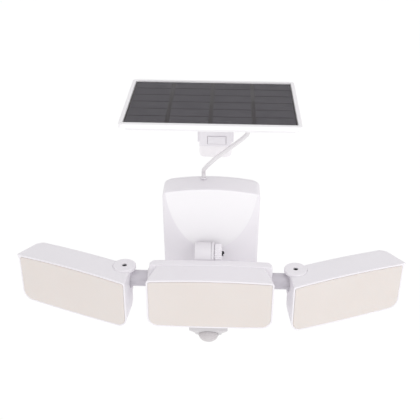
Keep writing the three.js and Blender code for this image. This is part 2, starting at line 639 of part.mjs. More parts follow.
add(group, "panel_frame", panelFrame(), WHITE);
add(group, "panel_cells", plate(planOutline(grown(PANEL_X, -0.2), grown(PANEL_Y, -0.2), 1), [209.5, 210.2]), CELL);
add(group, "panel_glass", plate(planOutline(grown(PANEL_X, -0.2), grown(PANEL_Y, -0.2), 1), [210.5, 211.3]), GLASS);

const PANEL_UNDERSIDE = PANEL.top - PANEL_THICK - GAP;

function junctionBox() {
  const x = [GLAND.x - 15, GLAND.x + 15];
  const y = [GLAND.y - 14, GLAND.y + 13];
  return cut(plate(planOutline(x, y, 3), [GLAND.top + GAP, PANEL_UNDERSIDE]),
    plate(planOutline(grown(x, -2), grown(y, -2), 1.5), [GLAND.top + 2.5, 204]),
    rod("z", [185, 190], [GLAND.x, GLAND.y], 3.4, { sides: 16 }));
}

// A hexagonal nut with a tapered clamping nose, hanging from the junction box.
function cableGland() {
  const at = [GLAND.x, GLAND.y];
  return cut(join(rod("z", [GLAND.top - 5, GLAND.top], at, 6, { sides: 6 }),
    rod("z", [GLAND.bottom, GLAND.top - 4.8], at, 3.7, { endRadius: 4.9, sides: 20 }),
    rod("z", [GLAND.top - 0.2, GLAND.top + 4.5], at, 3, { sides: 16 })),
    rod("z", [170, 195], at, CABLE_RADIUS - 0.6, { sides: 12 }));
}

const PIVOT_SCREWS = [[-11.5, -44], [11.5, -44], [-11.5, -86], [11.5, -86]];

// The foot under the panel and the lug that drops from it to the hinge.
function pivotFoot() {
  const x = [BRACKET_X - PANEL_HINGE.halfLug, BRACKET_X + PANEL_HINGE.halfLug];
  const at = [PANEL_HINGE.y, PANEL_HINGE.z];
  const foot = plate(planOutline([BRACKET_X - 15, BRACKET_X + 15], [-92, -38], 4),
    [PANEL_UNDERSIDE - 4, PANEL_UNDERSIDE]);
  const web = new THREE.Shape([[-70, PANEL_UNDERSIDE - 3], [-37, PANEL_HINGE.z - 7.4], [-34, PANEL_HINGE.z - 8],
    [-34, PANEL_HINGE.z + 7.9], [-42, PANEL_UNDERSIDE - 3]].map(([y, z]) => new THREE.Vector2(y, z)));
  const rib = new THREE.ExtrudeGeometry(web, { depth: x[1] - x[0], bevelEnabled: false });
  rib.applyMatrix4(new THREE.Matrix4().makeBasis(new THREE.Vector3(0, 1, 0), new THREE.Vector3(0, 0, 1),
    new THREE.Vector3(1, 0, 0)));
  return cut(join(foot, solid(rib.translate(x[0], 0, 0)), rod("x", x, at, PANEL_HINGE.radius)),
    rod("x", [-20, 30], at, PANEL_HINGE.bolt + 0.4, { sides: 16 }),
    ...PIVOT_SCREWS.map(([dx, y]) => rod("z", [190, 205], [BRACKET_X + dx, y], 1.7, { sides: 10 })));
}

add(group, "panel_junction_box", junctionBox(), WHITE);
add(group, "panel_gland", cableGland(), WHITE);
add(group, "panel_pivot_foot", pivotFoot(), WHITE);
PIVOT_SCREWS.forEach(([dx, y], i) => {
  const at = [BRACKET_X + dx, y];
  const head = rod("z", [195.7, 197.5], at, 2.8, { sides: 16 });
  const screw = join(head, rod("z", [197.3, 201.7], at, 1.35, { sides: 10 }));
  add(group, `pivot_screw_${i + 1}`, screw, STEEL);
});

// ---- panel bracket on the wall -------------------------------------------------------------------
function wallPlate() {
  const outline = roundedOutline({ halfWidth: WALL_PLATE.halfWidth, bottom: WALL_PLATE.bottom,
    top: WALL_PLATE.top, topRadius: WALL_PLATE.corner, bottomRadius: WALL_PLATE.corner, edgeSteps: 1 });
  const shifted = outline.map(([x, z]) => [x + BRACKET_X, z]);
  const holes = [132.8, 186].map((z) => rod("y", [-6, 1], [BRACKET_X, z], 2.3, { sides: 16 }));
  return cut(slab(shifted, 0, -WALL_PLATE.thick), ...holes);
}

// The arm box that slides onto the wall plate and carries the two hinge ears.
function bracketSocket() {
  const across = (half) => [BRACKET_X - half, BRACKET_X + half];
  const flange = block(across(SOCKET.halfFlange), [SOCKET.flange, SOCKET.back], [SOCKET.bottom, SOCKET.top]);
  const body = block(across(SOCKET.halfBody), [SOCKET.front, SOCKET.flange + 1], [SOCKET.bottom, SOCKET.top]);
  const hollow = block(across(14.5), [-17, 0], [153.5, 178]);
  const at = [PANEL_HINGE.y, PANEL_HINGE.z];
  const ears = [-1, 1].map((side) => {
    const a = BRACKET_X + side * (PANEL_HINGE.halfLug + GAP);
    const b = BRACKET_X + side * 14;
    const span = side > 0 ? [a, b] : [b, a];
    return join(rod("x", span, at, PANEL_HINGE.radius),
      block(span, [PANEL_HINGE.y, -14], [PANEL_HINGE.z - 8, PANEL_HINGE.z]),
      block(span, [-24, -14], [PANEL_HINGE.z - 14, PANEL_HINGE.z]));
  });
  return cut(join(flange, body, ...ears), hollow,
    block([LATCH.x - LATCH.halfWidth - GAP, LATCH.x + LATCH.halfWidth + GAP], [-30, -18],
      [LATCH.bottom - GAP, LATCH.top + GAP]),
    rod("x", [-20, 30], at, PANEL_HINGE.bolt + 0.4, { sides: 16 }));
}

function panelBolt() {
  const at = [PANEL_HINGE.y, PANEL_HINGE.z];
  return join(rod("x", [BRACKET_X - 14.6, BRACKET_X + 20], at, PANEL_HINGE.bolt, { sides: 16 }),
    rod("x", [BRACKET_X - 17.4, BRACKET_X - 14.4], at, 4.6, { sides: 6 }));
}

// A round thumb nut with two wings.
function wingNut() {
  const at = [PANEL_HINGE.y, PANEL_HINGE.z];
  const x0 = BRACKET_X + 14.4;
  const wings = block([x0 + 1.5, x0 + 5.5], [at[0] - 9.5, at[0] + 9.5], [at[1] - 1.3, at[1] + 1.3]);
  return cut(join(rod("x", [x0, x0 + 5.6], at, 5.2, { sides: 24 }), wings),
    rod("x", [x0 - 1, x0 + 8], at, PANEL_HINGE.bolt + 0.3, { sides: 16 }));
}

function latchTab() {
  const x = [LATCH.x - LATCH.halfWidth, LATCH.x + LATCH.halfWidth];
  return block(x, [LATCH.front, LATCH.back], [LATCH.bottom, LATCH.top]);
}

add(group, "bracket_wall_plate", wallPlate(), WHITE);
add(group, "bracket_socket", bracketSocket(), WHITE);
add(group, "bracket_latch", latchTab(), WHITE);
add(group, "panel_hinge_bolt", panelBolt(), STEEL);
add(group, "panel_wing_nut", wingNut(), SHADE);

// ---- cable ---------------------------------------------------------------------------------------
function solarCable() {
  const path = new THREE.CatmullRomCurve3(CABLE_ROUTE.map((point) => new THREE.Vector3(...point)));
  const section = new THREE.Shape();
  for (let i = 0; i < 8; i++) {
    const angle = (i / 8) * 2 * Math.PI;
    const corner = [CABLE_RADIUS * Math.cos(angle), CABLE_RADIUS * Math.sin(angle)];
    if (i === 0) section.moveTo(...corner);
    else section.lineTo(...corner);
  }
  section.closePath();
  return solid(new THREE.ExtrudeGeometry(section, { extrudePath: path, steps: 36, bevelEnabled: false }));
}

add(group, "solar_cable", solarCable(), CABLE);

export default group;
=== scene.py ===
# Solar flood light. Lengths in the shape code are millimetres in the part's own frame (+X to the
# viewer's right, +Y into the wall, +Z up) and become metres in new_piece().
import json
import math

import bmesh
import bpy
import numpy as np
from mathutils import Matrix, Vector

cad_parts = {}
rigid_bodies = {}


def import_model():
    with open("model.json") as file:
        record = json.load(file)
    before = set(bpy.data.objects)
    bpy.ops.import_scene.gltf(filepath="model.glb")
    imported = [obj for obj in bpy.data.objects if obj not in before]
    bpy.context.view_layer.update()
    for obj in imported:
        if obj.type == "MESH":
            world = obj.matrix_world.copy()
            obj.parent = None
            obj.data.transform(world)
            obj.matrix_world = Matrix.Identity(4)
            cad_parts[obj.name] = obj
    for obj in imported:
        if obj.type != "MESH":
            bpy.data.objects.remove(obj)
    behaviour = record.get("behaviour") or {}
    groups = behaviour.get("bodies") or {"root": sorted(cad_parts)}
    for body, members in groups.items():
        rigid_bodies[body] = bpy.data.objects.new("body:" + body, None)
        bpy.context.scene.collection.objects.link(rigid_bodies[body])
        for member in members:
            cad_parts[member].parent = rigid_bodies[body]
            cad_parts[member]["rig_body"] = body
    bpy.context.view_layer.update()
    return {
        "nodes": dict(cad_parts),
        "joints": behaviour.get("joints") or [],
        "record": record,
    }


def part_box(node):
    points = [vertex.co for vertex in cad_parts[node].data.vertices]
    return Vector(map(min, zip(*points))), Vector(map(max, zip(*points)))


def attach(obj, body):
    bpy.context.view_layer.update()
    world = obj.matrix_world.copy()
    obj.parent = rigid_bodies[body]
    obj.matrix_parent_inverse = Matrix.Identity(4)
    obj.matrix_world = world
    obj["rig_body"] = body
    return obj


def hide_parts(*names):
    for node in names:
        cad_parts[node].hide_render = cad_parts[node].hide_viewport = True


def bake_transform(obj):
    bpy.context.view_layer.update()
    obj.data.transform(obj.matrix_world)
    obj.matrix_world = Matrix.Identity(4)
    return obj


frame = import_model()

MM = 0.001
GAP = 0.3
scene = bpy.context.scene
JOINTS = {joint["name"]: joint for joint in frame["joints"]}
SLOT_OF = {part["node"]: part["material_slot"] for part in frame["record"]["subparts"]}


def box_mm(node):
    low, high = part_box(node)
    return np.array(low) / MM, np.array(high) / MM


def joint_mm(name):
    return np.array(JOINTS[name]["pos_m"]) / MM


# ---- camera --------------------------------------------------------------------------------------
CAMERA_AT = (0.0181, -0.8054, 0.4968)
CAMERA_PITCH = math.radians(29.53)
CAMERA_YAW = math.radians(1.44)
CAMERA_ROLL = math.radians(0.52)
CAMERA_LENS = 63.67


def add_camera():
    cos_pitch, sin_pitch = math.cos(CAMERA_PITCH), math.sin(CAMERA_PITCH)
    forward = Vector((-math.sin(CAMERA_YAW) * cos_pitch, math.cos(CAMERA_YAW) * cos_pitch, -sin_pitch))
    right = Vector((math.cos(CAMERA_YAW), math.sin(CAMERA_YAW), 0))
    up = right.cross(forward)
    cos_roll, sin_roll = math.cos(CAMERA_ROLL), math.sin(CAMERA_ROLL)
    across = cos_roll * right + sin_roll * up
    upward = -sin_roll * right + cos_roll * up
    data = bpy.data.cameras.new("camera")
    data.lens = CAMERA_LENS
    data.sensor_width = 36
    data.clip_end = 50
    camera = bpy.data.objects.new("camera", data)
    matrix = Matrix((across, upward, -forward)).transposed().to_4x4()
    matrix.translation = CAMERA_AT
    camera.matrix_world = matrix
    scene.collection.objects.link(camera)
    scene.camera = camera


add_camera()


# ---- materials -----------------------------------------------------------------------------------
def new_material(name):
    material = bpy.data.materials.new(name)
    material.use_nodes = True
    shader = material.node_tree.nodes["Principled BSDF"]
    return material, material.node_tree, shader


def noise(tree, scale, detail=3.0, stretch=None):
    coordinates = tree.nodes.new("ShaderNodeTexCoord")
    texture = tree.nodes.new("ShaderNodeTexNoise")
    texture.inputs["Scale"].default_value = scale
    texture.inputs["Detail"].default_value = detail
    source = coordinates.outputs["Object"]
    if stretch is not None:
        mapping = tree.nodes.new("ShaderNodeMapping")
        mapping.inputs["Scale"].default_value = stretch
        tree.links.new(source, mapping.inputs["Vector"])
        source = mapping.outputs["Vector"]
    tree.links.new(source, texture.inputs["Vector"])
    return texture.outputs["Fac"]


def ramp(tree, source, low, high, low_colour, high_colour):
    node = tree.nodes.new("ShaderNodeValToRGB")
    node.color_ramp.elements[0].position = low
    node.color_ramp.elements[0].color = (*low_colour, 1)
    node.color_ramp.elements[1].position = high
    node.color_ramp.elements[1].color = (*high_colour, 1)
    tree.links.new(source, node.inputs["Fac"])
    return node.outputs["Color"]


def mapped(tree, source, low, high):
    node = tree.nodes.new("ShaderNodeMapRange")
    node.inputs["From Min"].default_value = 0.3
    node.inputs["From Max"].default_value = 0.7
    node.inputs["To Min"].default_value = low
    node.inputs["To Max"].default_value = high
    tree.links.new(source, node.inputs["Value"])
    return node.outputs["Result"]


def bumped(tree, shader, source, strength, distance):
    node = tree.nodes.new("ShaderNodeBump")
    node.inputs["Strength"].default_value = strength
    node.inputs["Distance"].default_value = distance
    tree.links.new(source, node.inputs["Height"])
    tree.links.new(node.outputs["Normal"], shader.inputs["Normal"])


def moulded(name, colour, roughness, grain=900, depth=0.00003, mottle=0.02, metallic=0.0, specular=0.5):
    """Moulded plastic or plain metal: faint mottling, uneven gloss and a fine surface grain."""
    material, tree, shader = new_material(name)
    cloudy = noise(tree, 14, 4)
    darker = tuple(c * (1 - mottle) for c in colour)
    tree.links.new(ramp(tree, cloudy, 0.35, 0.65, darker, colour), shader.inputs["Base Color"])
    rough = mapped(tree, noise(tree, 45, 3), roughness - 0.05, roughness + 0.05)
    tree.links.new(rough, shader.inputs["Roughness"])
    bumped(tree, shader, noise(tree, grain, 2), 0.25, depth)
    shader.inputs["Metallic"].default_value = metallic
    shader.inputs["Specular IOR Level"].default_value = specular
    return material


def frosted_diffuser():
    material, tree, shader = new_material("frosted_diffuser")
    cloudy = noise(tree, 9, 2)
    warm, warmer = (0.69, 0.64, 0.615), (0.675, 0.62, 0.59)
    tree.links.new(ramp(tree, cloudy, 0.3, 0.7, warmer, warm), shader.inputs["Base Color"])
    tree.links.new(mapped(tree, noise(tree, 60, 3), 0.42, 0.52), shader.inputs["Roughness"])
    bumped(tree, shader, noise(tree, 1600, 2), 0.3, 0.00002)
    shader.inputs["Subsurface Weight"].default_value = 0.15
    shader.inputs["Subsurface Radius"].default_value = (0.004, 0.003, 0.0025)
    return material


def striped(name, colour, line_colour, period, duty, axis, roughness, specular=0.5):
    """A surface with fine parallel lines a period apart, in metres, across the given axis."""
    material, tree, shader = new_material(name)
    coordinates = tree.nodes.new("ShaderNodeTexCoord")
    split = tree.nodes.new("ShaderNodeSeparateXYZ")
    tree.links.new(coordinates.outputs["Object"], split.inputs["Vector"])
    scaled = tree.nodes.new("ShaderNodeMath")
    scaled.operation = "DIVIDE"
    scaled.inputs[1].default_value = period
    tree.links.new(split.outputs[axis], scaled.inputs[0])
    part = tree.nodes.new("ShaderNodeMath")
    part.operation = "FRACT"
    tree.links.new(scaled.outputs[0], part.inputs[0])
    line = tree.nodes.new("ShaderNodeMath")
    line.operation = "LESS_THAN"
    line.inputs[1].default_value = duty
    tree.links.new(part.outputs[0], line.inputs[0])
    mix = tree.nodes.new("ShaderNodeMix")
    mix.data_type = "RGBA"
    base = ramp(tree, noise(tree, 30, 4), 0.3, 0.7, tuple(c * 0.85 for c in colour), colour)
    tree.links.new(base, mix.inputs["A"])
    mix.inputs["B"].default_value = (*line_colour, 1)
    tree.links.new(line.outputs[0], mix.inputs["Factor"])
    tree.links.new(mix.outputs["Result"], shader.inputs["Base Color"])
    rough = mapped(tree, noise(tree, 70, 3), roughness - 0.04, roughness + 0.06)
    tree.links.new(rough, shader.inputs["Roughness"])
    shader.inputs["Specular IOR Level"].default_value = specular
    return material


def clear_cover():
    material, tree, shader = new_material("panel_cover")
    shader.inputs["Base Color"].default_value = (0.6, 0.6, 0.65, 1)
    shader.inputs["Alpha"].default_value = 0.03
    tree.links.new(mapped(tree, noise(tree, 80, 3), 0.06, 0.14), shader.inputs["Roughness"])
    bumped(tree, shader, noise(tree, 700, 2), 0.15, 0.00003)
    return material


def brushed(name, colour, roughness):
    material, tree, shader = new_material(name)
    streaks = noise(tree, 60, 4, stretch=(1, 14, 1))
    darker = tuple(c * 0.8 for c in colour)
    tree.links.new(ramp(tree, streaks, 0.3, 0.7, darker, colour), shader.inputs["Base Color"])
    tree.links.new(mapped(tree, streaks, roughness - 0.08, roughness + 0.1), shader.inputs["Roughness"])
    shader.inputs["Metallic"].default_value = 1.0
    return material


WHITE = moulded("white_plastic", (0.80, 0.775, 0.81), 0.42)
# The white plastic made lighter, with a real smoother gloss and finer grain: the extra lightness is painted
# light on the flat shield and the panel's lip.
POLISHED_LIT_WHITE = moulded("polished_plastic_painted_light", (0.84, 0.825, 0.845), 0.36, grain=1400, depth=0.00001, mottle=0.008)
# The white plastic made lighter for the bracket's wall plate, which sits in the panel's shade: painted
# light.
LIT_WHITE = moulded("bright_plastic_painted_light", (0.905, 0.88, 0.9), 0.42)
# A darker copy of the white plastic for the tilt hinge's lugs: painted shade.
HINGE_SHADED_WHITE = moulded("hinge_plastic_painted_shade", (0.73, 0.705, 0.74), 0.45)
# A darker copy of the white plastic for the swivel arms, for the shade between the heads: painted shade.
ARM_SHADED_WHITE = moulded("arm_plastic_painted_shade", (0.58, 0.555, 0.60), 0.48)
# A darker copy of the white plastic for the motion sensor, for the shade under the centre head: painted
# shade.
SENSOR_SHADED_WHITE = moulded("sensor_plastic_painted_shade", (0.575, 0.555, 0.57), 0.45)
DIFFUSER = frosted_diffuser()
SHEATH = moulded("cable_sheath", (0.75, 0.73, 0.745), 0.55, grain=1500)
RUBBER = moulded("black_rubber", (0.03, 0.03, 0.032), 0.8, grain=600, depth=0.00006)
DARK = moulded("dark_steel", (0.02, 0.02, 0.024), 0.4, metallic=0.6)
STEEL = brushed("zinc_steel", (0.55, 0.55, 0.57), 0.35)
FILM = moulded("battery_film", (0.04, 0.13, 0.36), 0.35, mottle=0.15)
GREEN_BOARD = striped("green_board", (0.02, 0.16, 0.06), (0.04, 0.24, 0.1), 0.0021, 0.3, "Z", 0.45)
WHITE_BOARD = striped("white_board", (0.78, 0.79, 0.76), (0.68, 0.66, 0.58), 0.008, 0.1, "Z", 0.5)
MILKY = moulded("milky_dome", (0.55, 0.52, 0.53), 0.38, grain=400, depth=0.0001)
CELL = striped("solar_cell", (0.037, 0.031, 0.04), (0.046, 0.04, 0.049), 0.0012, 0.25, "Y", 0.5,
               specular=0.15)
BACKING = moulded("cell_backing", (0.032, 0.026, 0.027), 0.5, mottle=0.1, specular=0.12)
COVER = clear_cover()


# ---- mesh helpers --------------------------------------------------------------------------------
def mark_sharp(mesh, degrees):
    limit = math.radians(degrees)
    work = bmesh.new()
    work.from_mesh(mesh)
    bmesh.ops.recalc_face_normals(work, faces=work.faces)
    for edge in work.edges:
        edge.smooth = len(edge.link_faces) == 2 and edge.calc_face_angle(0) < limit
    for face in work.faces:
        face.smooth = True
    work.to_mesh(mesh)
    work.free()


def new_piece(name, shape, material=None, matrix=None, sharp=35):
    """An object from (vertices, faces) in millimetres, moved by a matrix in millimetres."""
    vertices, faces = shape
    vertices = np.asarray(vertices, float)
    if matrix is not None:
        turn = np.array(matrix)
        vertices = vertices @ turn[:3, :3].T + turn[:3, 3]
    mesh = bpy.data.meshes.new(name)
    mesh.from_pydata((vertices * MM).tolist(), [], faces)
    mark_sharp(mesh, sharp)
    piece = bpy.data.objects.new(name, mesh)
    scene.collection.objects.link(piece)
    if material is not None:
        mesh.materials.append(material)
    return piece


def place(piece, body, slot, *nodes):
    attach(piece, body)
    if nodes:
        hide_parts(*nodes)
    return piece


def apply_modifier(piece, modifier):
    bpy.context.view_layer.update()
    depsgraph = bpy.context.evaluated_depsgraph_get()
    mesh = bpy.data.meshes.new_from_object(piece.evaluated_get(depsgraph))
    old = piece.data
    piece.modifiers.remove(modifier)
    mesh.name = piece.name
    piece.data = mesh
    bpy.data.meshes.remove(old)


def combine(piece, operation, *tools, sharp=35):
    """Cuts or joins piece with tool objects, which are used up."""
    for cutter in tools:
        modifier = piece.modifiers.new("combine", "BOOLEAN")
        modifier.operation = operation
        modifier.solver = "EXACT"
        modifier.object = cutter
        apply_modifier(piece, modifier)
        bpy.data.objects.remove(cutter)
    mark_sharp(piece.data, sharp)
    return piece


def bevelled(piece, width, segments=3, angle=30):
    modifier = piece.modifiers.new("bevel", "BEVEL")
    modifier.width = width * MM
    modifier.segments = segments
    modifier.limit_method = "ANGLE"
    modifier.angle_limit = math.radians(angle)
    apply_modifier(piece, modifier)
    mark_sharp(piece.data, 32)
    return piece


def refined(node, material, width):
    """A copy of a CAD node's solid with its flat faces merged and its edges rounded."""
    source = frame["nodes"][node]
    mesh = source.data.copy()
    piece = bpy.data.objects.new(f"{node}_finished", mesh)
    scene.collection.objects.link(piece)
    work = bmesh.new()
    work.from_mesh(mesh)
    bmesh.ops.remove_doubles(work, verts=work.verts, dist=0.00001)
    bmesh.ops.dissolve_limit(work, angle_limit=math.radians(1), verts=work.verts, edges=work.edges)
    work.to_mesh(mesh)
    work.free()
    mesh.materials.clear()
    mesh.materials.append(material)
    bevelled(piece, width)
    return place(piece, source["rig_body"], SLOT_OF[node], node)


def skin(rings, wrap=False):
    """A closed surface through equal-length rings; its two ends close on a middle point."""
    count = len(rings[0])
    vertices = np.vstack(rings)
    pairs = [(k, k + 1) for k in range(len(rings) - 1)]
    if wrap:
        pairs.append((len(rings) - 1, 0))
    faces = []
    for a, b in pairs:
        for i in range(count):
            j = (i + 1) % count
            faces.append((a * count + i, a * count + j, b * count + j, b * count + i))
    if not wrap:
        for ring in (0, len(rings) - 1):
            middle = len(vertices)
            vertices = np.vstack([vertices, rings[ring].mean(0)])
            for i in range(count):
                faces.append((ring * count + i, ring * count + (i + 1) % count, middle))
    return vertices, faces


def rounded_outline(half_width, bottom, top, top_radius, bottom_radius, crown=0.0, sag=0.0,
                    corner_steps=12, edge_steps=28, side_steps=10):
    """A closed anticlockwise outline with rounded corners, a crowned top and a sagging bottom."""
    corners = [(-half_width + bottom_radius, bottom + bottom_radius, bottom_radius, math.pi),
               (half_width - bottom_radius, bottom + bottom_radius, bottom_radius, 1.5 * math.pi),
               (half_width - top_radius, top - top_radius, top_radius, 0.0),
               (-half_width + top_radius, top - top_radius, top_radius, 0.5 * math.pi)]
    arcs = [[(x + r * math.cos(a + t * math.pi / 2), z + r * math.sin(a + t * math.pi / 2))
             for t in np.linspace(0, 1, corner_steps + 1)] for x, z, r, a in corners]
    points = []
    for k, arc in enumerate(arcs):
        points += arc
        steps = edge_steps if k % 2 == 0 else side_steps
        start, end = np.array(arc[-1]), np.array(arcs[(k + 1) % 4][0])
        points += [tuple(start + (end - start) * i / steps) for i in range(1, steps)]
    points = np.array(points)
    bulge = 1 - (points[:, 0] / half_width) ** 2
    share = (points[:, 1] - bottom) / (top - bottom)
    points[:, 1] += bulge * (crown * np.clip(2 * share - 1, 0, 1) - sag * np.clip(1 - 2 * share, 0, 1))
    return points


def upright(points, y):
    """An outline of (across, up) points as a ring at depth y, which may vary from point to point."""
    points = np.asarray(points)
    return np.column_stack([points[:, 0], np.broadcast_to(y, len(points)), points[:, 1]])


def flat(points, z):
    points = np.asarray(points)
    return np.column_stack([points, np.broadcast_to(z, len(points))])


def fillet(radius, steps=5):
    """(inset, drop) pairs round a quarter circle, from the face at its inner end to the side wall."""
    angles = np.linspace(math.pi / 2, 0, steps + 1)
    return [(radius * (1 - math.cos(a)), radius * (1 - math.sin(a))) for a in angles]


def lathe(profile, axis, at, sides=72):
    """Turns (radius, along) points round the x or z axis through at, and closes both ends."""
    angles = np.linspace(0, 2 * math.pi, sides, endpoint=False)
    rings = []
    for radius, along in profile:
        a, b = radius * np.cos(angles), radius * np.sin(angles)
        c = np.full(sides, float(along))
        columns = {"x": (c, at[1] + a, at[2] + b), "z": (at[0] + a, at[1] + b, c)}
        rings.append(np.column_stack(columns[axis]))
    return skin(rings)


def rounded_rod(axis, a, b, at, radius, edge=0.6, sides=72):
    """A plain cylinder from a to b with rounded ends."""
    start = [(radius - inset, a + drop) for inset, drop in fillet(edge, 4)]
    end = [(radius - inset, b - drop) for inset, drop in reversed(fillet(edge, 4))]
    return lathe([(0.4 * radius, a)] + start + end + [(0.4 * radius, b)], axis, at, sides)


def tool(shape, matrix=None):
    return new_piece("tool", shape, matrix=matrix)


def cuboid(low, high):
    corners = [(x, y, z) for x in (low[0], high[0]) for y in (low[1], high[1]) for z in (low[2], high[2])]
    faces = [(0, 1, 3, 2), (4, 6, 7, 5), (0, 4, 5, 1), (2, 3, 7, 6), (0, 2, 6, 4), (1, 5, 7, 3)]
    return corners, faces


# ---- solar cable ---------------------------------------------------------------------------------
CABLE_RADIUS = 2.4
# The route in metres, from the panel's gland down to the grommet in the base.
CABLE_ROUTE = [
    (0.041, -0.051, 0.1766), (0.041, -0.051, 0.1715), (0.0393, -0.051, 0.1662), (0.035, -0.0506, 0.1612),
    (0.0285, -0.0496, 0.155), (0.022, -0.048, 0.1489), (0.0153, -0.046, 0.1424), (0.0085, -0.043, 0.1354),
    (0.0022, -0.0382, 0.1276), (-0.0032, -0.0315, 0.119), (-0.007, -0.0235, 0.111),
    (-0.0092, -0.0155, 0.1045), (-0.01, -0.0103, 0.0993), (-0.01, -0.0082, 0.095), (-0.01, -0.008, 0.09095),
]


def smooth_route(points, steps):
    """Evenly spaced points on a smooth curve through the route."""
    points = np.array(points)
    ends = np.vstack([2 * points[0] - points[1], points, 2 * points[-1] - points[-2]])
    fine = []
    for i in range(1, len(ends) - 2):
        p0, p1, p2, p3 = ends[i - 1:i + 3]
        for t in np.linspace(0, 1, 12, endpoint=False):
            fine.append(0.5 * (2 * p1 + (p2 - p0) * t + (2 * p0 - 5 * p1 + 4 * p2 - p3) * t ** 2
                               + (3 * p1 - p0 - 3 * p2 + p3) * t ** 3))
    fine = np.vstack([fine, points[-1:]])
    travelled = np.concatenate([[0], np.cumsum(np.linalg.norm(np.diff(fine, axis=0), axis=1))])
    wanted = np.linspace(0, travelled[-1], steps)
    return np.column_stack([np.interp(wanted, travelled, fine[:, k]) for k in range(3)]), travelled[-1]


def tube_rings(path, radius, sides=28):
    """Rings of a tube that follows path without twisting."""
    tangents = np.gradient(path, axis=0)
    tangents /= np.linalg.norm(tangents, axis=1)[:, None]
    side = np.cross(tangents[0], (0, 1, 0))
    angles = np.linspace(0, 2 * math.pi, sides, endpoint=False)
    rings = []
    for point, tangent in zip(path, tangents):
        side = side - tangent * side.dot(tangent)
        side /= np.linalg.norm(side)
        other = np.cross(tangent, side)
        rings.append(point + radius * (np.outer(np.cos(angles), side) + np.outer(np.sin(angles), other)))
    return rings


def add_cable():
    path, length = smooth_route(CABLE_ROUTE, 120)
    cable = new_piece("solar_cable_sheath", skin(tube_rings(path / MM, CABLE_RADIUS)), SHEATH)
    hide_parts("solar_cable")
    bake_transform(cable)


add_cable()


# ---- wall base -----------------------------------------------------------------------------------
BASE_LOW, BASE_HIGH = box_mm("base_housing")
BASE_CROWN = 5.8
BASE_WALL = 2.4
BASE_TOP_CORNER, BASE_BOTTOM_CORNER = 5.5, 9.0
BASE_EDGE = 1.3
SHIELD_HALF_WIDTH, SHIELD_HALF_HEIGHT, SHIELD_CENTRE_Z, SHIELD_FALL = 55.3, 94.7, 100.5, 25.0
LOWER_FRONT = -22.0
CREASE_SHARPNESS, LOWER_FRONT_SHARPNESS = 90, 1.2
CREASE_BAND = 1.2
FRONT_MIDDLE = np.array([0.0, 30.0])
GROMMET_HOLE_Z, GROMMET_HOLE_RADIUS = (78, 95), 3.0
BUTTON_HOLE_Z, BUTTON_HOLE_RADIUS = (-97, -86), 5.0


def base_outline(inset):
    return rounded_outline(BASE_HIGH[0] - inset, BASE_LOW[2] + inset, BASE_HIGH[2] - BASE_CROWN - inset,
                           BASE_TOP_CORNER - inset / 2, BASE_BOTTOM_CORNER - inset / 2,
                           crown=BASE_CROWN, corner_steps=14, edge_steps=44, side_steps=60)


def soft_step(x, sharpness):
    """x where it is positive and 0 where it isn't, with a rounded corner."""
    return np.logaddexp(0, sharpness * x) / sharpness


def base_front(points):
    """Depth of the front surface: flat inside the shield, falling away outside it."""
    x, z = points[:, 0], points[:, 1]
    r = np.sqrt((x / SHIELD_HALF_WIDTH) ** 2 + ((z - SHIELD_CENTRE_Z) / SHIELD_HALF_HEIGHT) ** 2)
    fallen = BASE_LOW[1] + SHIELD_FALL * soft_step(r - 1, CREASE_SHARPNESS)
    return fallen - soft_step(fallen - LOWER_FRONT, LOWER_FRONT_SHARPNESS)


def shield_rings(edge, offset):
    """Rings from the front's middle to its edge, packed close together along the shield's crease."""
    reach = edge - FRONT_MIDDLE
    distance = np.linalg.norm(reach, axis=1)
    p = reach / (SHIELD_HALF_WIDTH, SHIELD_HALF_HEIGHT)
    q = (FRONT_MIDDLE - (0, SHIELD_CENTRE_Z)) / (SHIELD_HALF_WIDTH, SHIELD_HALF_HEIGHT)
    a, b, c = (p ** 2).sum(1), 2 * (p * q).sum(1), (q ** 2).sum() - 1
    near = CREASE_BAND / distance
    crease = np.minimum((-b + np.sqrt(b ** 2 - 4 * a * c)) / (2 * a), 1 - 2 * near)
    start, end = crease - near, crease + near
    shares = [start * s for s in np.linspace(0.06, 0.95, 10)]
    shares += [start + (end - start) * s for s in np.linspace(0, 1, 9)]
    shares += [end + (1 - end) * s for s in np.linspace(0.1, 1, 12)]
    rings = []
    for share in shares:
        points = FRONT_MIDDLE + reach * share[:, None]
        rings.append(upright(points, base_front(points) + offset))
    return rings


def polish_shield_with_painted_light(shell):
    """Gives the flat shield a smoother gloss and a lighter colour than the sides falling away around it:
    painted light.
    """
    shell.data.materials.append(POLISHED_LIT_WHITE)
    for face in shell.data.polygons:
        x, y, z = face.center / MM
        r = math.hypot(x / SHIELD_HALF_WIDTH, (z - SHIELD_CENTRE_Z) / SHIELD_HALF_HEIGHT)
        if r < 1 and y < BASE_LOW[1] + 0.3:
            face.material_index = 1
    return shell


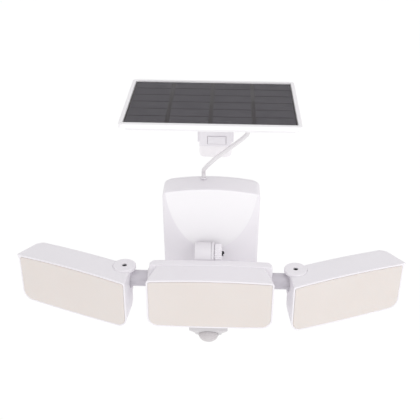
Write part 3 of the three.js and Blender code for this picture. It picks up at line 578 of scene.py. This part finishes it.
def base_shell():
    outside = shield_rings(base_outline(BASE_EDGE), 0)
    for inset, drop in fillet(BASE_EDGE)[1:]:
        points = base_outline(inset)
        outside.append(upright(points, base_front(points) + drop))
    rim = BASE_HIGH[1]
    side = base_outline(0)
    front = base_front(side) + BASE_EDGE
    outside += [upright(side, front + (rim - 0.4 - front) * s) for s in (0.1, 0.3, 0.6, 0.9, 1)]
    inner = base_outline(BASE_WALL)
    lips = [upright(base_outline(0.4), rim), upright(base_outline(BASE_WALL - 0.3), rim)]
    lips.append(upright(inner, rim - 0.3))
    deep = base_front(inner) + BASE_WALL
    inside = [upright(inner, rim - 0.3 + (deep + 0.3 - rim) * s) for s in (0.3, 0.6, 1)]
    inside += shield_rings(inner, BASE_WALL)[::-1][1::3]
    shell = new_piece("base_shell", skin(outside + lips + inside), WHITE, sharp=50)
    grommet_low, grommet_high = box_mm("cable_grommet")
    at = (grommet_low + grommet_high) / 2
    grommet_hole = rounded_rod("z", *GROMMET_HOLE_Z, at, GROMMET_HOLE_RADIUS)
    button_low, button_high = box_mm("mode_button")
    at = (button_low + button_high) / 2
    button_hole = rounded_rod("z", *BUTTON_HOLE_Z, at, BUTTON_HOLE_RADIUS)
    combine(shell, "DIFFERENCE", tool(grommet_hole), tool(button_hole), sharp=50)
    return polish_shield_with_painted_light(shell)


place(base_shell(), "root", "white_plastic", "base_housing")
for node in ("base_back_plate", "cable_grommet", "sensor_yoke"):
    refined(node, WHITE, 0.35)


# ---- tilt hinge ----------------------------------------------------------------------------------
TILT = joint_mm("head_tilt")
LUG_RADIUS = 13.5
LUG_JOINT, LUG_CLEARANCE = 1.2, 0.25
# each foot's lower and upper z, and the depth that the base lug's foot reaches
POST_FOOT_Z, LUG_FOOT_Z, POST_FOOT_BACK = (-3, 14), (-4.5, 3.1), -33.5
# half widths of the slot across the bolt's head and of the white bar in it, a painted highlight
BOLT_SLOT, BOLT_HIGHLIGHT_BAR = 0.95, 0.85


def lug_shape(name, x0, x1, foot, edge):
    """A round eye about the tilt axis with a straight foot; foot holds two opposite (y, z) corners."""
    sides = 96
    angles = np.linspace(0, 2 * math.pi, sides, endpoint=False)
    round_the_axis = np.column_stack([np.cos(angles), np.sin(angles)])
    stations = [(inset, x0 + drop) for inset, drop in fillet(edge, 4)]
    stations += [(inset, x1 - drop) for inset, drop in reversed(fillet(edge, 4))]
    rings = []
    for inset, x in stations:
        rings.append(np.column_stack([np.full(sides, x), TILT[1:] + (LUG_RADIUS - inset) * round_the_axis]))
    # The lug takes the darkened white plastic: painted shade.
    eye = new_piece(name, skin(rings), HINGE_SHADED_WHITE)
    web = new_piece("web", cuboid((x0, *foot[0]), (x1, *foot[1])))
    return combine(eye, "UNION", bevelled(web, edge, 3))


def add_hinge():
    end = box_mm("base_hinge_post")[1][0]
    foot = ((TILT[1], POST_FOOT_Z[0]), (POST_FOOT_BACK, POST_FOOT_Z[1]))
    post = lug_shape("base_post", LUG_JOINT + LUG_CLEARANCE, end, foot, 0.3)
    place(post, "root", "white_plastic", "base_hinge_post")
    start, front = box_mm("centre_head_lug")[0][:2]
    foot = ((front - 0.2, LUG_FOOT_Z[0]), (TILT[1], LUG_FOOT_Z[1]))
    lug = lug_shape("centre_lug", start, LUG_JOINT, foot, 0.4)
    combine(lug, "INTERSECT", tool(cuboid((-40, front, -40), (40, 10, 60))))
    place(lug, "centre_head", "white_plastic", "centre_head_lug")


def knurled_knob():
    low, high = box_mm("tilt_knob")
    teeth, sides = 30, 360
    angles = np.linspace(0, 2 * math.pi, sides, endpoint=False)
    outer = high[2] - TILT[2]
    wave = 0.5 + 0.5 * np.cos(angles * teeth)

    def ring(x, radius, depth):
        radii = radius - depth * (1 - wave)
        y, z = TILT[1] + radii * np.cos(angles), TILT[2] + radii * np.sin(angles)
        return np.column_stack([np.full(sides, x), y, z])

    x0, x1 = low[0], high[0]
    stations = [(x0, 3.6, 0), (x0, outer - 2.4, 0), (x0, outer - 1, 0.1), (x0 + 0.5, outer - 0.3, 0.6),
                (x0 + 1, outer, 0.9), (x1 - 1.2, outer, 0.9), (x1 - 0.6, outer - 0.3, 0.7),
                (x1, outer - 1.2, 0.1), (x1, outer - 2.4, 0), (x1, 7, 0), (x1 - 0.8, 6.4, 0),
                (x1 - 0.8, 3.6, 0)]
    rings = [ring(*station) for station in stations]
    knob = new_piece("clamp_knob", skin(rings, wrap=True), WHITE, sharp=45)
    place(knob, "tilt_knob", "white_plastic", "tilt_knob")


def hinge_bolt():
    low, high = box_mm("tilt_bolt")
    x1 = high[0]
    profile = [(0.2, low[0]), (2.4, low[0]), (3, low[0] + 0.6), (3, x1 - 2.8), (3.1, x1 - 2.3),
               (3.0, x1 - 1.2), (2.6, x1 - 0.5), (2.0, x1 - 0.2), (0.2, x1 - 0.2)]
    bolt = new_piece("hinge_bolt", lathe(profile, "x", TILT, 48), DARK)
    y, z = TILT[1:]
    slot = cuboid((x1 - 1.4, y - 6, z - BOLT_SLOT), (x1 + 1, y + 6, z + BOLT_SLOT))
    combine(bolt, "DIFFERENCE", tool(slot))
    place(bolt, "root", "dark_steel", "tilt_bolt")
    # The white bar in the bolt head's slot stands in for light caught in the slot: a painted highlight.
    bar = cuboid((x1 - 1.7, y - 3.1, z - BOLT_HIGHLIGHT_BAR), (x1 - 0.1, y + 3.1, z + BOLT_HIGHLIGHT_BAR))
    bar = new_piece("hinge_bolt_slot_painted_highlight", bar, WHITE)
    place(bevelled(bar, 0.15, 2), "root", "dark_steel")


add_hinge()
knurled_knob()
hinge_bolt()


# ---- lamp heads ----------------------------------------------------------------------------------
# Stations behind the front face: (y, narrower, top, bottom, crown, sag), in the head's own frame.
HEAD_HALF_WIDTH, HEAD_TOP, HEAD_BOTTOM, HEAD_SAG, HEAD_WALL = 74.2, 33.2, -31.6, 1.2, 2.2
HEAD_BEND, HEAD_SHOULDER, HEAD_DEPTH = 30, 36.4, 40.0
HEAD_STATIONS = np.array([
    (0, 0, HEAD_TOP, HEAD_BOTTOM, 2.2, HEAD_SAG), (HEAD_BEND, 8.4, HEAD_TOP, -29.8, 2, 0.8),
    (HEAD_SHOULDER, 10.6, 33, -27, 1.8, 0.5), (HEAD_DEPTH, 13.6, 31.2, -23, 1.2, 0)])
HEAD_TOP_RADIUS, HEAD_BOTTOM_RADIUS, BROW_TOP_RADIUS = 3, 13, 1.8

# The brow along a side head's outer top edge: its overhang at each station, then how far down and
# how far inward it reaches, and its lift.
BROW_OVERHANG, BROW_DEEP, BROW_WIDE, BROW_LIFT = (3.6, 4.2, 1.4, 0.0), 5.0, 9, 0.8


def head_outline(y, inset, brow=0):
    """brow is 1 or -1 for a brow on the right or the left end, or 0 for none."""
    columns = [np.interp(y, HEAD_STATIONS[:, 0], HEAD_STATIONS[:, k]) for k in range(1, 6)]
    narrower, top, bottom, crown, sag = columns
    top_radius = max((BROW_TOP_RADIUS if brow else HEAD_TOP_RADIUS) - inset / 2.8, 1)
    points = rounded_outline(HEAD_HALF_WIDTH - narrower - inset, bottom + inset, top - inset,
                             top_radius, max(HEAD_BOTTOM_RADIUS - inset, 1.5), crown, sag)
    if brow:
        half_width = HEAD_HALF_WIDTH - narrower
        raised = np.clip((points[:, 1] - top + BROW_DEEP) / BROW_DEEP, 0, 1) ** 1.6
        outward = np.clip((points[:, 0] * brow - half_width + BROW_WIDE) / BROW_WIDE, 0, 1) ** 1.5
        overhang = np.interp(y, HEAD_STATIONS[:, 0], BROW_OVERHANG)
        points[:, 0] += brow * raised * outward * overhang
        points[:, 1] += raised * outward * BROW_LIFT * overhang / BROW_OVERHANG[0]
    return points


def head_ring(y, inset, at=None, brow=0):
    return upright(head_outline(y, inset, brow), y if at is None else at)


def shrunk(ring, share):
    middle = ring.mean(0)
    return middle + (ring - middle) * share


def head_front_rings(brow):
    """The rim's cross-section, from its inner edge round to the outer wall."""
    wall = HEAD_WALL
    return [head_ring(0, wall - 0.1, 0.14), head_ring(0, wall - 0.3, 0), head_ring(0, 0.7, 0, brow),
            head_ring(0, 0.3, 0.12, brow), head_ring(0, 0.08, 0.4, brow)]


def head_outer_rings(brow):
    """The outer wall from the rim to the middle of the rear face."""
    rings = [head_ring(y, 0, None, brow) for y in (1, 3, 7, 12, 18, 24, 29.4, 30.6, 33, 35.6, 37, 38.2)]
    radius = 1.4
    for inset, drop in reversed(fillet(radius, 5)):
        rings.append(head_ring(HEAD_DEPTH - drop, inset, None, brow))
    face = head_ring(HEAD_DEPTH, radius)
    return rings + [shrunk(face, 0.96), shrunk(face, 0.5)]


def head_inner_rings():
    wall, depth = HEAD_WALL, HEAD_DEPTH
    back = head_ring(depth, wall + 1, depth - wall)
    rings = [shrunk(back, 0.5), back]
    rings += [head_ring(depth, wall + 0.2, depth - wall - 0.8), head_ring(HEAD_SHOULDER, wall, 35.3)]
    return rings + [head_ring(y, wall) for y in (HEAD_BEND, 20, 12, 6, 0.5)]


def envelope_rings(grow):
    """The head's outer form, closed at both ends, moved outward by grow."""
    return [head_ring(y, -grow) for y in (0, 12, HEAD_BEND, HEAD_SHOULDER, HEAD_DEPTH)]


LENS_FRONT = -0.4


def diffuser_rings():
    front = head_outline(0, 3.4)
    rings = []
    for share in (0.05, 0.3, 0.55, 0.75, 0.88, 0.95):
        rings.append(upright(front * share, LENS_FRONT - 0.45 * (1 - share ** 2)))
    for inset, drop in fillet(0.6, 5):
        rings.append(head_ring(0, 2.36 + inset, LENS_FRONT + drop))
    rings += [head_ring(1, 2.4), head_ring(6.4, 2.5), head_ring(6.4, 4.2), head_ring(3, 4.2)]
    back = head_ring(1.5, 4.6)
    return rings + [back, shrunk(back, 0.5)]


HEAD_YAW = math.radians(22.1)
KNUCKLE_INWARD, KNUCKLE_BEHIND = 56.34, 32.16
KNUCKLE_RADIUS, CAP_RADIUS, EAR_RADIUS = 10.4, 13.8, 9.2
POCKET_WALL = 2.8
EYE_TOP, EYE_HEIGHT, EAR_THICKNESS = -3.9, 24.4, 4.9
CAP_TOP, CAP_THICKNESS = 0.6, 4.2
CAP_LOW = CAP_TOP - CAP_THICKNESS
SCREW_RECESS, SCREW_SINK = 3.1, 1.1
SCREW_SHANK_RADIUS, SCREW_HEAD_RADIUS = 2.0, 2.8
SCREW_CROSS_LENGTH, SCREW_CROSS_WIDTH = 2.8, 0.6
ARM_SOCKET = {"inner": 53.6, "outer": 74.4, "radius": 12.7}
ARM_BORE = {"inner": 56.7, "outer": 82, "radius": 10.1}
ARM_RADIUS, ARM_INNER_END = 9.8, 57.0
# The tubes that clear the arm's way: their radius and length, and their margin and step in degrees.
SWEEP_RADIUS, SWEEP_LENGTH, SWEEP_MARGIN, SWEEP_STEP = 10.4, 44, 4, 7.0
POCKET_CLEARANCE, SHELL_CLEARANCE = 0.6, 0.7


def head_frames():
    """Each head's matrix from its own frame to the row frame, in millimetres."""
    lift = -HEAD_BOTTOM + HEAD_SAG
    low, high = box_mm("centre_head_diffuser")
    middle = (low[0] + high[0]) / 2
    low = box_mm("centre_head_housing")[0]
    frames = {"centre": Matrix.Translation((middle, low[1], low[2] + lift))}
    for side, name in ((-1, "left"), (1, "right")):
        pivot = joint_mm(f"{name}_head_swing")
        yaw = Matrix.Rotation(side * HEAD_YAW, 4, "Z")
        knuckle = Vector((-side * KNUCKLE_INWARD, KNUCKLE_BEHIND, 0))
        origin = Vector((pivot[0], pivot[1], 0)) - yaw @ knuckle
        origin.z = box_mm(f"{name}_head_housing")[0][2] + lift
        frames[name] = Matrix.Translation(origin) @ yaw
    return frames


HEADS = head_frames()


def add_lamp(name, brow=0):
    matrix = HEADS[name]
    diffuser = new_piece(f"{name}_diffuser", skin(diffuser_rings()), DIFFUSER, matrix, sharp=50)
    place(diffuser, f"{name}_head", "diffuser", f"{name}_head_diffuser")
    rings = head_inner_rings() + head_front_rings(brow) + head_outer_rings(brow)
    return new_piece(f"{name}_shell", skin(rings), WHITE, matrix, sharp=40)


CARRIER_HALF, CARRIER_TOP, CARRIER_BOTTOM, CARRIER_FRONT, CARRIER_REAR = 73.2, 34.2, -7.0, 31.6, 42.8
CARRIER_BEVEL, CARRIER_CORNER, CARRIER_CROWN = 4.0, 3, 1.5


def carrier_ring(y, inset, edge=0.0):
    """A section of the bar: inset moves in its ends, and edge its top and bottom."""
    points = rounded_outline(CARRIER_HALF - inset, CARRIER_BOTTOM + edge, CARRIER_TOP - edge,
                             CARRIER_CORNER, CARRIER_CORNER, crown=CARRIER_CROWN)
    return upright(points, y)


def arm_carrier():
    """The bar across the centre head's rear, with bevelled rear corners."""
    shoulder = CARRIER_REAR - CARRIER_BEVEL
    rings = [shrunk(carrier_ring(CARRIER_FRONT, 1, 0.9), 0.5)]
    rings += [carrier_ring(CARRIER_FRONT + drop, inset, inset) for inset, drop in fillet(0.8, 4)]
    rings += [carrier_ring(shoulder, 0), carrier_ring(shoulder + 0.4, 0.2)]
    rings.append(carrier_ring(CARRIER_REAR - 0.8, 2.2))
    for inset, drop in reversed(fillet(0.7, 4)):
        rings.append(carrier_ring(CARRIER_REAR - drop, 2.4 + inset, inset))
    return new_piece("arm_carrier", skin(rings + [shrunk(rings[-1], 0.5)]), WHITE, HEADS["centre"])


def arm_rods(rod, edge):
    """Tools along the arms' axis, one at each end of the centre head."""
    at = joint_mm("left_arm_twist")
    rods = []
    for side in (-1, 1):
        ends = sorted((side * rod["inner"], side * rod["outer"]))
        rods.append(tool(rounded_rod("x", *ends, at, rod["radius"], edge)))
    return rods


def add_centre_head():
    shell = add_lamp("centre")
    carrier = arm_carrier()
    inside = [head_ring(y, 0.9) for y in (-2, 12, HEAD_BEND, HEAD_SHOULDER)]
    inside.append(head_ring(HEAD_DEPTH, 1, HEAD_DEPTH - 0.8))
    combine(carrier, "DIFFERENCE", tool(skin(inside), HEADS["centre"]))
    combine(carrier, "UNION", *arm_rods(ARM_SOCKET, 1.0), sharp=40)
    for piece in (carrier, shell):
        combine(piece, "DIFFERENCE", *arm_rods(ARM_BORE, 0.3), sharp=40)
    place(carrier, "centre_head", "white_plastic")
    place(shell, "centre_head", "white_plastic", "centre_head_housing")


def arm_sweep(side, pivot, arm_z):
    """Tubes fanned about the knuckle: the room that the arm needs as the head swings."""
    tubes = []
    swing = JOINTS["right_head_swing"]["range_deg"]
    for degrees in np.arange(-swing[1] - SWEEP_MARGIN, -swing[0] + SWEEP_MARGIN + 1, SWEEP_STEP):
        tube = rounded_rod("x", -SWEEP_LENGTH, 0, (0, 0, 0), SWEEP_RADIUS, 0.3, 48)
        turn = Matrix.Rotation(math.radians(degrees), 4, "Z")
        flip = Matrix.Scale(-1, 4, (1, 0, 0)) if side < 0 else Matrix.Identity(4)
        tubes.append(tool(tube, Matrix.Translation((pivot[0], pivot[1], arm_z)) @ flip @ turn))
    return tubes


def knuckle_cap(name, pivot):
    """The round cap that closes a knuckle, with a recess for its screw."""
    top, low, radius, recess = CAP_TOP, CAP_LOW, CAP_RADIUS, SCREW_RECESS
    profile = [(0.3, low), (radius - 0.3, low), (radius, low + 0.2)]
    profile += [(radius - inset, top - drop) for inset, drop in reversed(fillet(1.4, 7))]
    profile += [(radius - 5, top), (recess + 0.5, top), (recess + 0.1, top - 0.1), (recess, top - 0.4)]
    profile += [(recess, low + 0.3), (0.3, low + 0.3)]
    return new_piece(f"{name}_knuckle_cap", lathe(profile, "z", pivot), WHITE)


def add_side_head(side, name):
    shell = add_lamp(name, side)
    body = f"{name}_head"
    pivot = joint_mm(f"{name}_head_swing")
    arm_z = joint_mm(f"{name}_arm_twist")[2]
    eye_low, eye_high = EYE_TOP - EYE_HEIGHT, EYE_TOP

    def pocket(grow):
        return tool(rounded_rod("z", eye_low - GAP, eye_high + GAP, pivot, KNUCKLE_RADIUS + grow, 0.3))

    ear_low, ear_high = eye_low - GAP - EAR_THICKNESS, eye_low - GAP
    wall = rounded_rod("z", ear_low, EYE_TOP + 0.2, pivot, KNUCKLE_RADIUS + POCKET_WALL, 0.5)
    wall = new_piece(f"{name}_knuckle_pocket", wall, WHITE)
    combine(wall, "INTERSECT", tool(skin(envelope_rings(-0.4)), HEADS[name]))
    combine(wall, "DIFFERENCE", pocket(POCKET_CLEARANCE), *arm_sweep(side, pivot, arm_z))
    seat = tool(rounded_rod("z", CAP_LOW - 0.1, 12, pivot, CAP_RADIUS + 0.15, 0.05))
    cutters = [pocket(SHELL_CLEARANCE), *arm_sweep(side, pivot, arm_z), seat]
    combine(shell, "DIFFERENCE", *cutters, sharp=40)
    ear = rounded_rod("z", ear_low, ear_high, pivot, EAR_RADIUS, 0.6)
    ear = new_piece(f"{name}_knuckle_ear", ear, WHITE)
    for piece in (wall, knuckle_cap(name, pivot), ear):
        place(piece, body, "white_plastic")
    place(shell, body, "white_plastic", f"{name}_head_housing")
    add_arm(side, name, pivot, eye_low, eye_high)
    add_knuckle_screw(name, pivot)


def add_arm(side, name, pivot, eye_low, eye_high):
    eye = rounded_rod("z", eye_low, eye_high, pivot, KNUCKLE_RADIUS, 0.8)
    # The arm takes the darkened white plastic: painted shade.
    eye = new_piece(f"{name}_swivel_arm", eye, ARM_SHADED_WHITE)
    inner, outer = sorted((side * ARM_INNER_END, pivot[0] - side * 4))
    tube = tool(rounded_rod("x", inner, outer, joint_mm(f"{name}_arm_twist"), ARM_RADIUS, 0.7))
    combine(eye, "UNION", tube)
    place(eye, f"{name}_arm", "white_plastic", f"{name}_arm")


def add_knuckle_screw(name, pivot):
    low = box_mm(f"{name}_knuckle_screw")[0][2]
    top, shank, head = CAP_TOP - SCREW_SINK, SCREW_SHANK_RADIUS, SCREW_HEAD_RADIUS
    profile = [(0.2, low), (shank, low), (shank, CAP_LOW + 0.5), (head, CAP_LOW + 0.5)]
    profile += [(head, top - 0.5), (head - 0.3, top - 0.2), (head - 1, top), (0.2, top)]
    screw = new_piece(f"{name}_screw", lathe(profile, "z", pivot, 48), DARK)
    x, y = pivot[0], pivot[1]
    for across, along in ((SCREW_CROSS_LENGTH, SCREW_CROSS_WIDTH), (SCREW_CROSS_WIDTH, SCREW_CROSS_LENGTH)):
        slot = cuboid((x - across / 2, y - along / 2, top - 0.9), (x + across / 2, y + along / 2, top + 1))
        combine(screw, "DIFFERENCE", tool(slot))
    place(screw, f"{name}_head", "dark_steel", f"{name}_knuckle_screw")


add_centre_head()
for side, name in ((-1, "left"), (1, "right")):
    add_side_head(side, name)


# ---- motion sensor -------------------------------------------------------------------------------
SENSOR_FACE_Y, SENSOR_FACE_Z = -46.0, -119.0
SENSOR_FACE_TILT = math.radians(55)
DOME_RADIUS, DOME_HEIGHT, DOME_SPIGOT, DOME_BACK = 12.47, 9.17, 11.0, 4.0


def sensor_dome():
    """A flattened dome on the sloping face, with shallow ring-shaped lens steps."""
    low, high = box_mm("sensor_dome")
    steps = 60
    profile = []
    for i in range(1, steps + 1):
        angle = i / steps * math.pi / 2
        groove = 0.14 if i % 10 == 0 and i < steps else 0
        radius, height = DOME_RADIUS - groove, DOME_HEIGHT - groove
        profile.append((radius * math.sin(angle), -GAP - height * math.cos(angle)))
    profile += [(DOME_SPIGOT, -GAP), (DOME_SPIGOT, DOME_BACK), (0.2, DOME_BACK)]
    face = Matrix.Translation(((low[0] + high[0]) / 2, SENSOR_FACE_Y, SENSOR_FACE_Z))
    face = face @ Matrix.Rotation(-SENSOR_FACE_TILT, 4, "X")
    dome = new_piece("sensor_lens", lathe(profile, "z", (0, 0, 0)), MILKY, face, sharp=60)
    place(dome, "sensor", "sensor_dome", "sensor_dome")


sensor_dome()
# The sensor's housing and cover take the darkened white plastic: painted shade.
refined("sensor_housing", SENSOR_SHADED_WHITE, 0.7)
refined("sensor_cover", SENSOR_SHADED_WHITE, 0.3)


# ---- solar panel ---------------------------------------------------------------------------------
CELL_COLUMNS, CELL_ROWS = 4, 6
COLUMN_GAP, ROW_GAP, CELL_MARGIN = 4.2, 1.5, 1.6
PANEL_LIP, TRAY_INSET, TRAY_CHAMFER, LAMINATE_SEAT = 5.0, 6, 3, 209.2


def plan_outline(low, high, radius, grow=0.0):
    """A rounded rectangle between two (x, y) corners, moved outward by grow."""
    middle = (low[0] + high[0]) / 2
    outline = rounded_outline((high[0] - low[0]) / 2 + grow, low[1] - grow, high[1] + grow, radius, radius,
                              corner_steps=8, edge_steps=12, side_steps=10)
    return outline + (middle, 0)


def panel_frame():
    low, high = box_mm("panel_frame")
    cells_low, cells_high = box_mm("panel_cells")
    lip_bottom = high[2] - PANEL_LIP

    def outer(inset, z):
        return flat(plan_outline(low, high, max(4 - inset / 2, 1), -inset), z)

    def inner(grow, z):
        return flat(plan_outline(cells_low, cells_high, 1.2, 0.4 + grow), z)

    bottom = outer(TRAY_INSET + TRAY_CHAMFER, low[2])
    rings = [shrunk(bottom, 0.5), bottom]
    rings += [outer(TRAY_INSET + inset, low[2] + drop) for inset, drop in fillet(1.6)]
    rings += [outer(TRAY_INSET, lip_bottom - 0.3), outer(TRAY_INSET - 0.4, lip_bottom)]
    rings += [outer(inset, lip_bottom + drop) for inset, drop in fillet(0.8)]
    rings += [outer(inset, high[2] - drop) for inset, drop in reversed(fillet(0.9))]
    rings += [inner(0.4, high[2]), inner(0.1, high[2] - 0.12), inner(0, high[2] - 0.4)]
    seat = inner(0, LAMINATE_SEAT)
    rings += [seat, shrunk(seat, 0.5)]
    # The tray takes the lightened white plastic so that its lip reads brighter: painted light.
    panel = new_piece("panel_tray", skin(rings), POLISHED_LIT_WHITE, sharp=40)
    place(panel, "panel", "white_plastic", "panel_frame")


def panel_cells():
    low, high = box_mm("panel_cells")
    backing = new_piece("cell_laminate", cuboid(low, high - (0, 0, 0.25)), BACKING)
    bevelled(backing, 0.1, 2)
    place(backing, "panel", "solar_cell", "panel_cells")
    width = (high[0] - low[0] - 2 * CELL_MARGIN - (CELL_COLUMNS - 1) * COLUMN_GAP) / CELL_COLUMNS
    height = (high[1] - low[1] - 2 * CELL_MARGIN - (CELL_ROWS - 1) * ROW_GAP) / CELL_ROWS
    vertices, faces = [], []
    for column in range(CELL_COLUMNS):
        for row in range(CELL_ROWS):
            x = low[0] + CELL_MARGIN + column * (width + COLUMN_GAP)
            y = low[1] + CELL_MARGIN + row * (height + ROW_GAP)
            corners, sides = cuboid((x, y, high[2] - 0.4), (x + width, y + height, high[2]))
            faces += [tuple(len(vertices) + i for i in side) for side in sides]
            vertices += corners
    cells = new_piece("cell_wafers", (vertices, faces), CELL)
    bevelled(cells, 0.12, 2)
    mark_sharp(cells.data, 5)
    place(cells, "panel", "solar_cell")


def panel_cover():
    low, high = box_mm("panel_glass")
    rings = [shrunk(flat(plan_outline(low, high, 1, -0.5), low[2]), 0.5)]
    for inset, drop in fillet(0.25, 3):
        rings.append(flat(plan_outline(low, high, 1, -inset), low[2] + drop))
    for inset, drop in reversed(fillet(0.25, 3)):
        rings.append(flat(plan_outline(low, high, 1, -inset), high[2] - drop))
    rings.append(shrunk(rings[-1], 0.5))
    cover = new_piece("panel_cover_sheet", skin(rings), COVER)
    place(cover, "panel", "panel_glass", "panel_glass")


panel_frame()
panel_cells()
panel_cover()
for node in ("panel_junction_box", "panel_gland", "panel_pivot_foot"):
    refined(node, WHITE, 0.5)


# ---- panel bracket -------------------------------------------------------------------------------
# The wall plate takes the lightened white plastic against the panel's shade: painted light.
refined("bracket_wall_plate", LIT_WHITE, 0.7)
for node, width in (("bracket_socket", 0.7), ("bracket_latch", 0.45), ("panel_wing_nut", 0.5)):
    refined(node, WHITE, width)


# ---- small and hidden pieces ---------------------------------------------------------------------
CARRIED = {"rubber": RUBBER, "steel": STEEL, "dark_steel": DARK, "battery_wrap": FILM,
           "circuit_board": GREEN_BOARD, "led_board": WHITE_BOARD, "white_plastic": WHITE,
           "cable_sheath": SHEATH, "solar_cell": CELL, "panel_glass": COVER, "diffuser": DIFFUSER,
           "sensor_dome": MILKY}
for node, piece in frame["nodes"].items():
    piece.data.materials.clear()
    piece.data.materials.append(CARRIED[SLOT_OF[node]])
refined("panel_hinge_bolt", STEEL, 0.3)
refined("mode_button", RUBBER, 0.5)
refined("sensor_bolt", STEEL, 0.3)


# ---- stage and light -----------------------------------------------------------------------------
WORLD_LOW, WORLD_HIGH = 1.32, 0.72
LIGHT_TARGET, LIGHT_SIZE = (0, -0.05, 0.02), (1.2, 1.0)
STAGE_LOW, STAGE_HIGH, STAGE_GLOW = (-6000, 60, -520), (6000, 9000, -500), 1.01


def stage_material():
    """A white sweep that glows evenly, so that it stays clear of shadows."""
    material, _, shader = new_material("stage_white")
    shader.inputs["Base Color"].default_value = (0, 0, 0, 1)
    shader.inputs["Roughness"].default_value = 1.0
    shader.inputs["Specular IOR Level"].default_value = 0.0
    shader.inputs["Emission Color"].default_value = (1, 1, 1, 1)
    shader.inputs["Emission Strength"].default_value = STAGE_GLOW
    return material


def add_stage():
    floor = new_piece("floor", cuboid(STAGE_LOW, STAGE_HIGH), stage_material())


def area_light(name, at, power):
    """A soft box that faces the lamp row."""
    data = bpy.data.lights.new(name, "AREA")
    data.shape = "RECTANGLE"
    data.size, data.size_y = LIGHT_SIZE
    data.energy = power
    light = bpy.data.objects.new(name, data)
    light.location = at
    light.rotation_euler = (Vector(LIGHT_TARGET) - Vector(at)).to_track_quat("-Z", "Y").to_euler()
    scene.collection.objects.link(light)


def add_world():
    """A pale room over a white table: brighter underfoot than overhead."""
    world = bpy.data.worlds.new("studio")
    world.use_nodes = True
    tree = world.node_tree
    direction = tree.nodes.new("ShaderNodeTexCoord")
    split = tree.nodes.new("ShaderNodeSeparateXYZ")
    tree.links.new(direction.outputs["Generated"], split.inputs["Vector"])
    height = tree.nodes.new("ShaderNodeMapRange")
    height.inputs["From Min"].default_value = -1
    height.inputs["From Max"].default_value = 1
    height.inputs["To Min"].default_value = WORLD_LOW
    height.inputs["To Max"].default_value = WORLD_HIGH
    tree.links.new(split.outputs["Z"], height.inputs["Value"])
    tree.links.new(height.outputs["Result"], tree.nodes["Background"].inputs["Strength"])
    tree.nodes["Background"].inputs["Color"].default_value = (1, 1, 1, 1)
    scene.world = world


add_stage()
add_world()
area_light("key", (0.9, -1.7, 1.5), 10.4)
area_light("left", (-0.8, -1.6, 1.4), 2.5)
area_light("right", (1.6, -1.3, 0.5), 2.5)
scene.view_settings.view_transform = "Standard"
